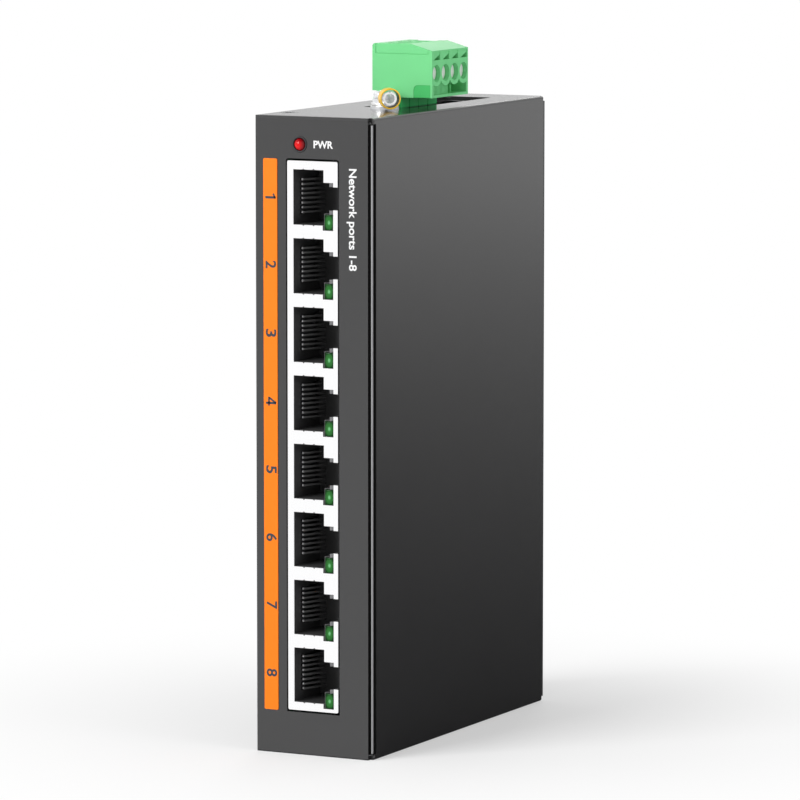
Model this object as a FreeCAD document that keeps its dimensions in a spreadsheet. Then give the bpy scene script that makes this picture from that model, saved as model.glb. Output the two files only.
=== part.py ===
import FreeCAD, Part
import os
import re

from FreeCAD import Placement, Rotation, Vector
import Sketcher

# Ethernet switch for a 35 mm mounting rail, in millimetres.
# Lengths are written in the case's own frame: X from its left side, Y from its front face
# backwards, Z up from its base. The finished part stands with the middle of its base at the origin.

PORTS = 8
POLES = 4
CONTACTS = 8

# Driving dimensions: name, value, meaning.
SIZES = [
    ("case_width", 28.5, "outside width of the case"),
    ("case_depth", 87.1, "front face to rear face"),
    ("wall", 1.0, "sheet thickness"),
    ("bend_radius", 0.5, "outside radius of the folds beside the right wall"),
    ("inner_bend", 0.2, "inside radius of those folds"),
    ("seam", 0.15, "gap between flanges that meet at a corner"),
    ("relief", 1.1, "square notch where two folds meet"),
    ("cover_gap", 0.1, "gap round the inset left cover"),
    ("fit_gap", 0.05, "clearance of a screw or pin in its hole"),
    ("port_pitch", 15.0, "distance between neighbouring sockets"),
    ("port_row_z", 17.69, "height of the lowest socket's centre"),
    ("port_margin", 7.87, "last socket's centre to the end of the shield"),
    ("head_room", 9.64, "shield's upper end to the top of the case"),
    ("jack_width", 12.32, "width of the shield's face"),
    ("jack_depth", 16.0, "depth of the ganged sockets"),
    ("shield_thick", 0.3, "thickness of the bright shield"),
    ("shield_corner", 0.5, "corner radius of the shield's face"),
    ("window_side_gap", 0.33, "panel cut-out beside the shield"),
    ("window_end_gap", 0.45, "panel cut-out above and below the shield"),
    ("window_corner", 0.6, "corner radius of the panel cut-out"),
    ("cavity_edge", 1.5, "shield's left edge to the socket opening"),
    ("cavity_span", 7.38, "width of the socket's main opening"),
    ("cavity_tall", 12.0, "height of the socket's main opening"),
    ("step_span", 2.35, "width of the stepped part of the opening"),
    ("step_tall", 6.86, "height of the stepped part"),
    ("latch_tall", 5.08, "height of the latch slot"),
    ("cavity_depth", 12.3, "depth of a socket from the front face"),
    ("slot_reach", 4.0, "depth of the latch slot in the shield's side"),
    ("contact_pitch", 1.02, "distance between the contact springs"),
    ("contact_wide", 0.45, "width of a contact spring"),
    ("contact_thick", 0.3, "thickness of a contact spring"),
    ("contact_front", 3.2, "front of the contact springs"),
    ("contact_lift", 3.2, "rise of a contact spring into the socket"),
    ("contact_run", 5.6, "depth over which the spring rises"),
    ("channel_deep", 0.75, "depth of the channels that hold the springs"),
    ("lamp_span", 2.05, "width of a socket's light window"),
    ("lamp_tall", 3.5, "height of a socket's light window"),
    ("lamp_set", 0.3, "step's edge to the light window"),
    ("lamp_drop", 0.15, "light window below the stepped part"),
    ("lamp_long", 10.0, "length of the light pipe"),
    ("strip_left", 1.96, "left edge of the number strip"),
    ("strip_span", 3.38, "width of the number strip"),
    ("strip_thick", 0.2, "thickness of the number strip"),
    ("strip_more", 0.3, "strip reaches past the shield at each end"),
    ("power_x", 10.86, "power light's centre from the left side"),
    ("power_up", 3.56, "power light's centre above the shield"),
    ("power_radius", 1.45, "radius of the power light"),
    ("power_proud", 0.9, "dome in front of the panel"),
    ("power_long", 4.6, "panel face to the light's back"),
    ("holder_long", 5.0, "length of the light's holder"),
    ("holder_side", 4.6, "side of the light's square holder"),
    ("standoff_long", 5.16, "left cover to the board"),
    ("standoff_radius", 2.75, "radius round the standoff"),
    ("board_thick", 1.6, "thickness of the board"),
    ("board_edge", 1.2, "board's edge to the wall"),
    ("board_screw_y", 20.0, "front fixing holes from the front face"),
    ("board_screw_back", 18.0, "rear fixing holes from the rear face"),
    ("board_screw_end", 5.2, "fixing holes from the base and the top"),
    ("screw_radius", 1.5, "radius of the board's and bracket's screws"),
    ("screw_head", 2.75, "radius of a pan head"),
    ("screw_head_tall", 1.8, "height of a pan head"),
    ("slot_wide", 0.7, "width of a screw's slot"),
    ("slot_deep", 0.8, "depth of a screw's slot"),
    ("cover_screw_x", 2.8, "cover screws from the left side"),
    ("cover_screw_y", 10.0, "front cover screws from the front face"),
    ("cover_screw_back", 10.0, "rear cover screws from the rear face"),
    ("cover_screw_radius", 1.25, "radius of a cover screw"),
    ("cover_head_radius", 2.3, "radius of its countersunk head"),
    ("cover_screw_long", 4.5, "length of a cover screw"),
    ("tab_reach", 5.6, "reach of the cover's tabs from the left side"),
    ("tab_wide", 11.0, "width of the cover's tabs"),
    ("magnet_long", 12.0, "depth of a transformer block"),
    ("magnet_tall", 16.0, "height of a transformer block"),
    ("magnet_thick", 6.0, "thickness of a transformer block"),
    ("part_space", 2.4, "space between neighbouring parts on the board"),
    ("chip_side", 16.0, "side of the switching chip"),
    ("chip_thick", 1.6, "thickness of the switching chip"),
    ("sink_side", 21.0, "side of the heat sink"),
    ("sink_base", 1.6, "thickness of the heat sink's base"),
    ("sink_tall", 6.5, "height of the heat sink's fins"),
    ("fin_thick", 1.0, "thickness of a fin"),
    ("memory_long", 5.0, "length of the memory chip"),
    ("memory_wide", 4.0, "width of the memory chip"),
    ("crystal_long", 11.0, "length of the crystal's can"),
    ("crystal_wide", 4.6, "width of the crystal's can"),
    ("crystal_thick", 3.5, "height of the crystal's can"),
    ("coil_side", 10.0, "side of the inductor"),
    ("coil_thick", 5.0, "height of the inductor"),
    ("capacitor_radius", 4.0, "radius of a capacitor"),
    ("capacitor_long", 11.5, "length of a capacitor"),
    ("pole_pitch", 4.5, "distance between neighbouring terminals"),
    ("plug_left", 10.7, "plug's left face"),
    ("plug_span", 14.8, "width of the plug"),
    ("plug_front", 34.9, "front end of the plug"),
    ("plug_under", 2.3, "plug's underside above the top plate"),
    ("plug_tall", 11.9, "height of the plug above its underside"),
    ("plug_corner", 0.8, "radius of the plug's upper left edge"),
    ("plug_step", 1.4, "left part of the underside lies higher"),
    ("bevel_span", 5.1, "width of the sloping part of the top"),
    ("bevel_drop", 1.35, "fall of the sloping part of the top"),
    ("nose_left", 1.2, "plug's left face to its nose"),
    ("nose_span", 4.9, "thickness of the nose"),
    ("nose_long", 9.0, "length of the nose below the underside"),
    ("header_left", 0.2, "plug's left face to the header's neck"),
    ("header_right", 7.0, "header's right face from the plug's left face"),
    ("header_long", 14.4, "height of the header"),
    ("header_floor", 3.6, "thickness of the header's floor"),
    ("header_shoulder", 3.0, "header narrows this far under the top plate"),
    ("pin_side", 0.8, "side of a header pin"),
    ("pin_x", 3.9, "pins from the plug's left face"),
    ("cage_left", 3.1, "clamp cages from the plug's left face"),
    ("cage_span", 5.4, "length of a clamp cage"),
    ("cage_wide", 2.9, "width of a clamp cage"),
    ("cage_tall", 5.6, "height of a clamp cage"),
    ("cage_floor", 2.5, "clamp cages above the plug's underside"),
    ("cage_wall", 0.6, "thickness of a clamp cage"),
    ("clamp_up", 5.4, "clamp screws above the plug's underside"),
    ("clamp_hole", 1.9, "radius of the screwdriver holes"),
    ("clamp_head", 1.75, "radius of a clamp screw's head"),
    ("clamp_shank", 1.0, "radius of a clamp screw"),
    ("clamp_sunk", 1.0, "clamp screws' heads below the right face"),
    ("collar_radius", 2.35, "radius of the collars round the holes"),
    ("band_deep", 1.2, "depth of the recess under the collars"),
    ("band_low", 0.6, "lip under the recess"),
    ("band_tall", 3.4, "height of the recess"),
    ("band_end", 0.8, "end walls of the recess"),
    ("rib_thick", 0.4, "ribs between the poles"),
    ("probe_up", 9.3, "small windows above the plug's underside"),
    ("probe_tall", 1.7, "height of the small windows"),
    ("probe_wide", 2.7, "width of the small windows"),
    ("probe_deep", 1.5, "depth of the small windows"),
    ("end_recess_deep", 0.5, "depth of the recess in each end"),
    ("end_recess_span", 4.3, "width of the recess in each end"),
    ("end_recess_tall", 2.5, "height of the recess in each end"),
    ("groove_wide", 0.3, "width of the header's grooves"),
    ("groove_deep", 0.35, "depth of the header's grooves"),
    ("groove_space", 1.9, "distance between the grooves in the header's end"),
    ("cutout_left", 8.6, "left edge of the opening in the top"),
    ("cutout_right", 20.0, "right edge of the opening in the top"),
    ("cutout_margin", 0.5, "opening in front of the plug"),
    ("cutout_long", 42.0, "length of the opening in the top"),
    ("cutout_corner", 1.0, "corner radius of the opening"),
    ("earth_x", 15.8, "earth screw from the left side"),
    ("earth_before", 4.0, "earth screw in front of the plug"),
    ("earth_head_radius", 2.5, "radius of the earth screw's head"),
    ("earth_head_tall", 1.9, "height of the earth screw's head"),
    ("earth_long", 8.6, "length of the earth screw under its head"),
    ("washer_radius", 3.2, "radius of the flat washer"),
    ("washer_thick", 0.6, "thickness of the flat washer"),
    ("spring_washer_radius", 2.7, "radius of the spring washer"),
    ("spring_washer_thick", 0.8, "thickness of the spring washer"),
    ("nut_across", 5.5, "width across the flats of a nut"),
    ("nut_tall", 2.4, "height of a nut"),
    ("lug_ring_radius", 3.0, "radius of the lug's ring"),
    ("lug_thick", 0.7, "thickness of the lug's metal"),
    ("lug_angle", 36.0, "lug points this far from straight ahead"),
    ("barrel_start", 3.1, "ring's centre to the barrel"),
    ("barrel_long", 4.2, "length of the barrel"),
    ("barrel_radius", 1.55, "outside radius of the barrel"),
    ("barrel_lift", 0.5, "barrel above the underside of the lug's ring"),
    ("barrel_bore", 1.05, "inside radius of the barrel"),
    ("sleeve_start", 4.9, "ring's centre to the sleeve"),
    ("sleeve_long", 3.3, "length of the sleeve"),
    ("sleeve_wall", 0.5, "thickness of the sleeve"),
    ("sleeve_gap", 0.27, "clearance between barrel and sleeve"),
    ("rail_tall", 35.0, "height of the rail"),
    ("rail_up", 0.5, "rail's centre above the middle of the case"),
    ("rail_play", 0.3, "clearance round the rail's edge"),
    ("rail_thick", 1.0, "thickness of the rail"),
    ("bracket_left", 5.0, "rail bracket from the left side"),
    ("bracket_span", 18.5, "width of the rail bracket"),
    ("bracket_thick", 5.0, "rear face to the rail's seat"),
    ("bracket_over", 3.2, "bracket reaches above the rail"),
    ("bracket_under", 10.6, "bracket reaches below the rail"),
    ("claw_grip", 2.0, "claws reach behind the rail's edge"),
    ("claw_thick", 2.0, "thickness of the claws"),
    ("channel_side", 2.5, "bracket's side to the latch channel"),
    ("channel_back", 1.2, "rear face to the latch channel"),
    ("channel_lip", 1.0, "thickness of the lips over the channel"),
    ("lip_reach", 2.0, "reach of the lips over the channel"),
    ("slide_gap", 0.12, "clearance round the latch"),
    ("latch_above", 6.0, "latch reaches above the rail's lower edge"),
    ("latch_shoulder", 5.0, "height of the latch's claw below the rail"),
    ("pull_long", 6.0, "pull tab below the bracket"),
    ("pull_slot", 6.0, "length of the screwdriver slot in the tab"),
    ("pull_slot_tall", 2.0, "height of the screwdriver slot"),
    ("spring_room", 8.0, "length of the latch spring"),
    ("spring_radius", 1.0, "mean radius of the latch spring"),
    ("spring_wire", 0.2, "radius of the spring's wire"),
    ("spring_pitch", 0.8, "pitch of the latch spring"),
    ("bracket_screw_low", 5.5, "lower bracket screw above the channel's end"),
    ("bracket_screw_space", 10.0, "distance between the bracket screws"),
    ("bracket_head", 2.8, "radius of the bracket screws' countersunk heads"),
]

# Places that follow from the driving dimensions.
PLACES = {
    "inside_right": "case_width - wall",
    "inside_back": "case_depth - wall",
    "row_top": f"port_row_z + {PORTS - 1} * port_pitch",
    "row_middle": f"port_row_z + {(PORTS - 1) / 2} * port_pitch",
    "shield_low": "port_row_z - port_margin",
    "shield_high": "row_top + port_margin",
    "case_height": "shield_high + head_room",
    "inside_top": "case_height - wall",
    "board_left": "wall + standoff_long",
    "board_face": "board_left + board_thick",
    "shield_right": "board_face + jack_width",
    "cavity_left": "board_face + cavity_edge",
    "cavity_right": "cavity_left + cavity_span",
    "step_right": "cavity_right + step_span",
    "lamp_left": "cavity_right + lamp_set",
    "power_z": "shield_high + power_up",
    "magnet_y": "jack_depth + part_space",
    "sink_y": "magnet_y + magnet_long + part_space",
    "chip_y": "sink_y + sink_side / 2 - chip_side / 2",
    "chip_face": "board_face + chip_thick",
    "rear_parts_y": "inside_back - 2 * capacitor_radius - 3 * part_space",
    "plug_right": "plug_left + plug_span",
    "plug_long": f"{POLES} * pole_pitch",
    "plug_low": "case_height + plug_under",
    "plug_high": "plug_low + plug_tall",
    "header_low": "plug_low - header_long",
    "nose_low": "plug_low - nose_long",
    "cages_x": "plug_left + cage_left",
    "cages_z": "plug_low + cage_floor",
    "clamp_z": "plug_low + clamp_up",
    "cutout_front": "plug_front - cutout_margin",
    "earth_y": "plug_front - earth_before",
    "lug_low": "case_height + washer_thick",
    "lug_high": "lug_low + lug_thick",
    "earth_head_low": "lug_high + spring_washer_thick",
    "sleeve_radius": "barrel_radius + sleeve_gap + sleeve_wall",
    "barrel_up": "barrel_radius + barrel_lift",
    "rail_z": "case_height / 2 + rail_up",
    "rail_low": "rail_z - rail_tall / 2",
    "rail_high": "rail_z + rail_tall / 2",
    "seat_y": "case_depth + bracket_thick",
    "claw_y": "seat_y + rail_thick + rail_play",
    "rear_end": "claw_y + claw_thick",
    "bracket_low": "rail_low - bracket_under",
    "bracket_high": "rail_high + bracket_over",
    "bracket_right": "bracket_left + bracket_span",
    "bracket_middle": "bracket_left + bracket_span / 2",
    "channel_left": "bracket_left + channel_side",
    "channel_right": "bracket_right - channel_side",
    "channel_y": "case_depth + channel_back",
    "channel_end_y": "seat_y - channel_lip",
    "latch_high": "rail_low + latch_above",
    "channel_high": "latch_high + spring_room",
    "origin_x": "-case_width / 2",
    "origin_y": "-(rear_end - power_proud) / 2",
}

doc = FreeCAD.newDocument("rail_switch")
sheet = doc.addObject("Spreadsheet::Sheet", "Sizes")
NAMES = set()
for row, (alias, value, meaning) in enumerate(SIZES, 1):
    sheet.set(f"A{row}", alias)
    sheet.set(f"B{row}", str(value))
    sheet.set(f"C{row}", meaning)
    sheet.setAlias(f"B{row}", alias)
    NAMES.add(alias)
doc.recompute()


def formula(text):
    """Write a length in terms of the sheet's cells."""
    def cell(match):
        word = match.group(0)
        if word in PLACES:
            return "(" + formula(PLACES[word]) + ")"
        if word in NAMES:
            return "Sizes." + word
        return word
    return re.sub(r"[a-z_][a-z_0-9]*", cell, str(text))


def bind(piece, prop, text):
    piece.setExpression(prop, formula(text))


def between(low, high):
    return f"({high}) - ({low})"


def place(piece, x, y, z):
    bind(piece, "Placement.Base.x", x)
    bind(piece, "Placement.Base.y", y)
    bind(piece, "Placement.Base.z", z)


def block(name, xs, ys, zs):
    """A box between two planes along each axis."""
    piece = doc.addObject("Part::Box", name)
    bind(piece, "Length", between(*xs))
    bind(piece, "Width", between(*ys))
    bind(piece, "Height", between(*zs))
    place(piece, xs[0], ys[0], zs[0])
    return piece


def block_about(name, centre, sides):
    """A box given by its centre and its three sides."""
    spans = []
    for middle, side in zip(centre, sides):
        spans.append((f"({middle}) - ({side}) / 2", f"({middle}) + ({side}) / 2"))
    return block(name, *spans)


TURNS = {
    "X": Rotation(Vector(0, 1, 0), 90),
    "Y": Rotation(Vector(1, 0, 0), -90),
    "Z": Rotation(),
}


def aim(piece, axis, start, centre):
    """Stand a round primitive on its axis at a start plane."""
    first, second = centre
    spot = {"X": (start, first, second), "Y": (first, start, second), "Z": (first, second, start)}[axis]
    piece.Placement = Placement(Vector(), TURNS[axis])
    place(piece, *spot)


def rod(name, radius, axis, span, centre):
    piece = doc.addObject("Part::Cylinder", name)
    bind(piece, "Radius", radius)
    bind(piece, "Height", between(*span))
    aim(piece, axis, span[0], centre)
    return piece


def taper(name, radii, axis, span, centre):
    piece = doc.addObject("Part::Cone", name)
    bind(piece, "Radius1", radii[0])
    bind(piece, "Radius2", radii[1])
    bind(piece, "Height", between(*span))
    aim(piece, axis, span[0], centre)
    return piece


def join(name, pieces):
    piece = doc.addObject("Part::MultiFuse", name)
    piece.Shapes = pieces
    return piece


def cut(name, base, tools):
    piece = doc.addObject("Part::Cut", name)
    piece.Base = base
    piece.Tool = tools[0] if len(tools) == 1 else join(name + "_tools", tools)
    return piece


def together(name, pieces):
    piece = doc.addObject("Part::Compound", name)
    piece.Links = pieces
    return piece


NODES = []


def node(piece, label, x="0", y="0", z="0"):
    """Name a finished piece and stand it in the part's frame."""
    piece.Label = label
    place(piece, f"origin_x + {x}", f"origin_y + {y}", z)
    NODES.append(piece)
    return piece


def find_edges(shape, test):
    return [f"Edge{i}" for i, edge in enumerate(shape.Edges, 1) if test(edge)]


def value_of(text):
    """The present value of a length, read from the sheet."""
    numbers = re.sub(r"Sizes\.([a-z_0-9]+)", lambda found: str(sheet.get(found.group(1))), formula(text))
    return float(sheet.evalExpression(numbers))


def new_body(name):
    return doc.addObject("PartDesign::Body", name)


def sketch_on(body, role, name, offset="0"):
    """A sketch on one of the body's origin planes, moved along the plane's normal."""
    plane = [part for part in body.Origin.OriginFeatures if part.Role == role][0]
    sketch = body.newObject("Sketcher::SketchObject", name)
    sketch.AttachmentSupport = [(plane, "")]
    sketch.MapMode = "FlatFace"
    bind(sketch, "AttachmentOffset.Base.z", offset)
    return sketch


def outline(sketch, points):
    """A closed outline whose corners are tied to the sheet."""
    start = sketch.GeometryCount
    spots = [Vector(value_of(x), value_of(y), 0) for x, y in points]
    count = len(points)
    for i in range(count):
        sketch.addGeometry(Part.LineSegment(spots[i], spots[(i + 1) % count]), False)
    for i in range(count):
        sketch.addConstraint(Sketcher.Constraint("Coincident", start + i, 2, start + (i + 1) % count, 1))
    for i, (x, y) in enumerate(points):
        for kind, text, size in (("DistanceX", x, spots[i].x), ("DistanceY", y, spots[i].y)):
            tie = sketch.addConstraint(Sketcher.Constraint(kind, -1, 1, start + i, 1, size))
            sketch.setExpression(f"Constraints[{tie}]", formula(text))
    return sketch


def rectangle(sketch, xs, ys):
    return outline(sketch, [(xs[0], ys[0]), (xs[1], ys[0]), (xs[1], ys[1]), (xs[0], ys[1])])


def pad(body, sketch, length, backwards=False):
    feature = body.newObject("PartDesign::Pad", sketch.Name + "_pad")
    feature.Profile = sketch
    bind(feature, "Length", length)
    feature.Reversed = backwards
    sketch.Visibility = False
    return feature


def pocket(body, sketch, length, backwards=False):
    feature = body.newObject("PartDesign::Pocket", sketch.Name + "_pocket")
    feature.Profile = sketch
    bind(feature, "Length", length)
    feature.Reversed = backwards
    return feature


def fillet(body, radius, test, name):
    doc.recompute()
    base = body.Tip
    feature = body.newObject("PartDesign::Fillet", name)
    feature.Base = (base, find_edges(base.Shape, test))
    bind(feature, "Radius", radius)
    return feature


def repeat_up(body, features, name):
    """Repeat features once for each socket, upwards."""
    rows = body.newObject("PartDesign::LinearPattern", name)
    rows.Originals = features
    axis = [part for part in body.Origin.OriginFeatures if part.Role == "Z_Axis"][0]
    rows.Direction = (axis, [""])
    rows.Occurrences = PORTS
    bind(rows, "Length", f"{PORTS - 1} * port_pitch")
    body.Tip = rows
    return rows


def along(edge, axis):
    """True for a straight edge that runs along the named axis."""
    if len(edge.Vertexes) != 2:
        return False
    run = edge.Vertexes[1].Point - edge.Vertexes[0].Point
    return abs(run[axis]) > 0.999 * run.Length


def middle_at(edge, axis, size):
    ends = [vertex.Point[axis] for vertex in edge.Vertexes]
    return max(abs(end - size) for end in ends) < 1e-6


def rounded_window(name, xs, ys, zs, corner, axis):
    """A box with its corners rounded, for a cut-out that runs along an axis."""
    core = block(name + "_core", xs, ys, zs)
    doc.recompute()
    window = doc.addObject("Part::Fillet", name)
    window.Base = core
    radius = value_of(corner)
    window.Edges = [(i, radius, radius) for i, edge in enumerate(core.Shape.Edges, 1) if along(edge, axis)]
    return window


def port_z(i):
    """Height of a socket's centre; socket 1 is the highest."""
    return f"row_top - {i} * port_pitch"


def pole_y(i):
    return f"plug_front + {i + 0.5} * pole_pitch"


# Housing: right wall, front, top, base and rear folded from one sheet.
def make_housing():
    body = new_body("housing_body")
    plan = rectangle(sketch_on(body, "XY_Plane", "housing_plan"), ("0", "case_width"), ("0", "case_depth"))
    pad(body, plan, "case_height")
    right = value_of("case_width")
    fillet(body, "bend_radius", lambda edge: middle_at(edge, 0, right), "outer_folds")
    inside = rectangle(sketch_on(body, "YZ_Plane", "housing_inside"), ("wall", "inside_back"),
                       ("wall", "inside_top"))
    pocket(body, inside, "inside_right", backwards=True)
    inner = value_of("inside_right")
    fillet(body, "inner_bend", lambda edge: middle_at(edge, 0, inner), "inner_folds")

    tools = []
    for end, zs in enumerate((("-wall", "relief"), ("case_height - relief", "case_height + wall"))):
        for side, ys in enumerate((("-wall", "relief"), ("case_depth - relief", "case_depth + wall"))):
            tools.append(block(f"relief_{end}_{side}", ("case_width - relief", "case_width + wall"), ys, zs))
    for end, zs in enumerate((("-wall", "wall"), ("inside_top", "case_height + wall"))):
        for side, ys in enumerate((("wall", "wall + seam"), ("inside_back - seam", "inside_back"))):
            tools.append(block(f"seam_{end}_{side}", ("-wall", "case_width - relief"), ys, zs))
    tools.append(rounded_window(
        "port_window",
        ("board_face - window_side_gap", "shield_right + window_side_gap"),
        ("-wall", "2 * wall"),
        ("shield_low - window_end_gap", "shield_high + window_end_gap"),
        "window_corner", 1))
    tools.append(rounded_window(
        "top_window",
        ("cutout_left", "cutout_right"),
        ("cutout_front", "cutout_front + cutout_long"),
        ("case_height - 2 * wall", "case_height + wall"),
        "cutout_corner", 2))
    tools.append(rod("power_hole", "power_radius + fit_gap", "Y", ("-wall", "2 * wall"),
                     ("power_x", "power_z")))
    tools.append(rod("earth_hole", "screw_radius + fit_gap", "Z",
                     ("case_height - 2 * wall", "case_height + wall"), ("earth_x", "earth_y")))
    for i, z in enumerate(bracket_screw_heights()):
        tools.append(rod(f"rear_hole_{i}", "screw_radius + fit_gap", "Y",
                         ("case_depth - 2 * wall", "case_depth + wall"), ("bracket_middle", z)))
    for i, (y, up) in enumerate(cover_screw_spots()):
        low, high = ("inside_top", "case_height") if up else ("0", "wall")
        radii = ("cover_screw_radius + fit_gap", "cover_head_radius + fit_gap")
        tools.append(taper(f"sink_hole_{i}", radii if up else radii[::-1], "Z", (low, high),
                           ("cover_screw_x", y)))
    node(cut("housing", body, tools), "housing_shell")


def cover_screw_spots():
    rear = "case_depth - cover_screw_back"
    return [("cover_screw_y", True), (rear, True), ("cover_screw_y", False), (rear, False)]


def bracket_screw_heights():
    low = "channel_high + bracket_screw_low"
    return [low, f"{low} + bracket_screw_space"]


# Left cover: a plate set between the housing's flanges, with tabs that take the screws.
def make_cover():
    front = "wall + cover_gap"
    rear = "inside_back - cover_gap"
    low = "wall + cover_gap"
    high = "inside_top - cover_gap"
    pieces = [block("cover_plate", ("0", "wall"), (front, rear), (low, high))]
    tools = []
    for i, (y, up) in enumerate(cover_screw_spots()):
        zs = (f"{high} - wall", high) if up else (low, f"{low} + wall")
        ys = (f"{y} - tab_wide / 2", f"{y} + tab_wide / 2")
        pieces.append(block(f"cover_tab_{i}", ("0", "tab_reach"), ys, zs))
        tools.append(rod(f"tab_hole_{i}", "cover_screw_radius + fit_gap", "Z",
                         (f"{zs[0]} - wall", f"{zs[1]} + wall"), ("cover_screw_x", y)))
    node(cut("cover", join("cover_sheet", pieces), tools), "left_cover")


# Countersunk screws that hold the cover, two from above and two from below.
def make_cover_screws():
    screws = []
    for i, (y, up) in enumerate(cover_screw_spots()):
        centre = ("cover_screw_x", y)
        head = ("inside_top", "case_height") if up else ("0", "wall")
        radii = ("cover_screw_radius", "cover_head_radius")
        shank = (("case_height - cover_screw_long", "inside_top") if up else ("wall", "cover_screw_long"))
        solid = join(f"cover_screw_solid_{i}", [
            taper(f"cover_screw_head_{i}", radii if up else radii[::-1], "Z", head, centre),
            rod(f"cover_screw_shank_{i}", "cover_screw_radius", "Z", shank, centre)])
        mark = ("case_height - slot_deep", "case_height + wall") if up else ("-wall", "slot_deep")
        cross = []
        for turn, sides in enumerate((("2 * cover_screw_radius", "slot_wide"),
                                      ("slot_wide", "2 * cover_screw_radius"))):
            xs = (f"cover_screw_x - {sides[0]} / 2", f"cover_screw_x + {sides[0]} / 2")
            ys = (f"{y} - {sides[1]} / 2", f"{y} + {sides[1]} / 2")
            cross.append(block(f"cover_screw_cross_{i}_{turn}", xs, ys, mark))
        screws.append(cut(f"cover_screw_{i}", solid, cross))
    node(together("cover_screw_set", screws), "cover_screws")


def port_outline(sketch, z):
    """The stepped opening of a modular socket, latch side to the right."""
    tall = "cavity_tall / 2"
    step = "step_tall / 2"
    slot = "latch_tall / 2"
    outer = "shield_right + wall"
    corners = [
        ("cavity_left", f"{z} - {tall}"), ("cavity_right", f"{z} - {tall}"),
        ("cavity_right", f"{z} - {step}"), ("step_right", f"{z} - {step}"),
        ("step_right", f"{z} - {slot}"), (outer, f"{z} - {slot}"),
        (outer, f"{z} + {slot}"), ("step_right", f"{z} + {slot}"),
        ("step_right", f"{z} + {step}"), ("cavity_right", f"{z} + {step}"),
        ("cavity_right", f"{z} + {tall}"), ("cavity_left", f"{z} + {tall}"),
    ]
    return outline(sketch, corners)


def lamp_spans(z):
    high = f"{z} - step_tall / 2 - lamp_drop"
    return ("lamp_left", "lamp_left + lamp_span"), (f"{high} - lamp_tall", high)


# Bright shield: one stamped and folded sheet round the whole row of sockets, open to the board.
def make_shield():
    body = new_body("shield_body")
    face = rectangle(sketch_on(body, "XZ_Plane", "shield_face"), ("board_face", "shield_right"),
                     ("shield_low", "shield_high"))
    pad(body, face, "jack_depth", backwards=True)
    fillet(body, "shield_corner", lambda edge: along(edge, 1), "shield_corners")
    hollow = rectangle(sketch_on(body, "XZ_Plane", "shield_hollow", "-shield_thick"),
                       ("board_face - wall", "shield_right - shield_thick"),
                       ("shield_low + shield_thick", "shield_high - shield_thick"))
    pocket(body, hollow, "jack_depth", backwards=False)
    opening = pocket(body, port_outline(sketch_on(body, "XZ_Plane", "shield_port"), "port_row_z"),
                     "slot_reach")
    xs, zs = lamp_spans("port_row_z")
    window = rectangle(sketch_on(body, "XZ_Plane", "shield_lamp"), ("cavity_right - wall", xs[1]),
                       (zs[0], "port_row_z"))
    lamp = pocket(body, window, "shield_thick")
    repeat_up(body, [opening, lamp], "shield_rows")
    node(body, "port_shield")


# Socket block: one black moulding with eight sockets, channels for the springs and light pipes.
def make_jacks():
    body = new_body("jack_body")
    face = rectangle(sketch_on(body, "XZ_Plane", "jack_face", "-shield_thick"),
                     ("board_face", "shield_right - shield_thick"),
                     ("shield_low + shield_thick", "shield_high - shield_thick"))
    pad(body, face, "jack_depth - shield_thick", backwards=True)
    opening = pocket(body, port_outline(sketch_on(body, "XZ_Plane", "jack_port"), "port_row_z"),
                     "slot_reach")
    tall = "cavity_tall / 2"
    room = sketch_on(body, "XZ_Plane", "jack_room")
    rectangle(room, ("cavity_left", "cavity_right"), (f"port_row_z - {tall}", f"port_row_z + {tall}"))
    cavity = pocket(body, room, "cavity_depth")
    step = sketch_on(body, "XZ_Plane", "jack_step")
    rectangle(step, ("cavity_right - wall", "step_right"),
              ("port_row_z - step_tall / 2", "port_row_z + step_tall / 2"))
    stepped = pocket(body, step, "cavity_depth")
    xs, zs = lamp_spans("port_row_z")
    lamp = pocket(body, rectangle(sketch_on(body, "XZ_Plane", "jack_lamp"), xs, zs),
                  "shield_thick + lamp_long")
    floors = sketch_on(body, "XZ_Plane", "jack_channels", "-(contact_front - slide_gap)")
    tails = sketch_on(body, "XZ_Plane", "jack_tails", "-(cavity_depth - 2 * contact_thick)")
    half = "contact_wide / 2 + fit_gap"
    for i in range(CONTACTS):
        z = f"port_row_z + {i - (CONTACTS - 1) / 2} * contact_pitch"
        rectangle(floors, ("cavity_left - channel_deep", "cavity_left + fit_gap"),
                  (f"{z} - ({half})", f"{z} + ({half})"))
        rectangle(tails, ("board_face - wall", "cavity_left + fit_gap"),
                  (f"{z} - ({half})", f"{z} + ({half})"))
    channel = pocket(body, floors, "cavity_depth - contact_front + slide_gap")
    tail = pocket(body, tails, "2 * contact_thick")
    repeat_up(body, [opening, cavity, stepped, lamp, channel, tail], "jack_rows")
    node(body, "jack_housing")


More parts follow.
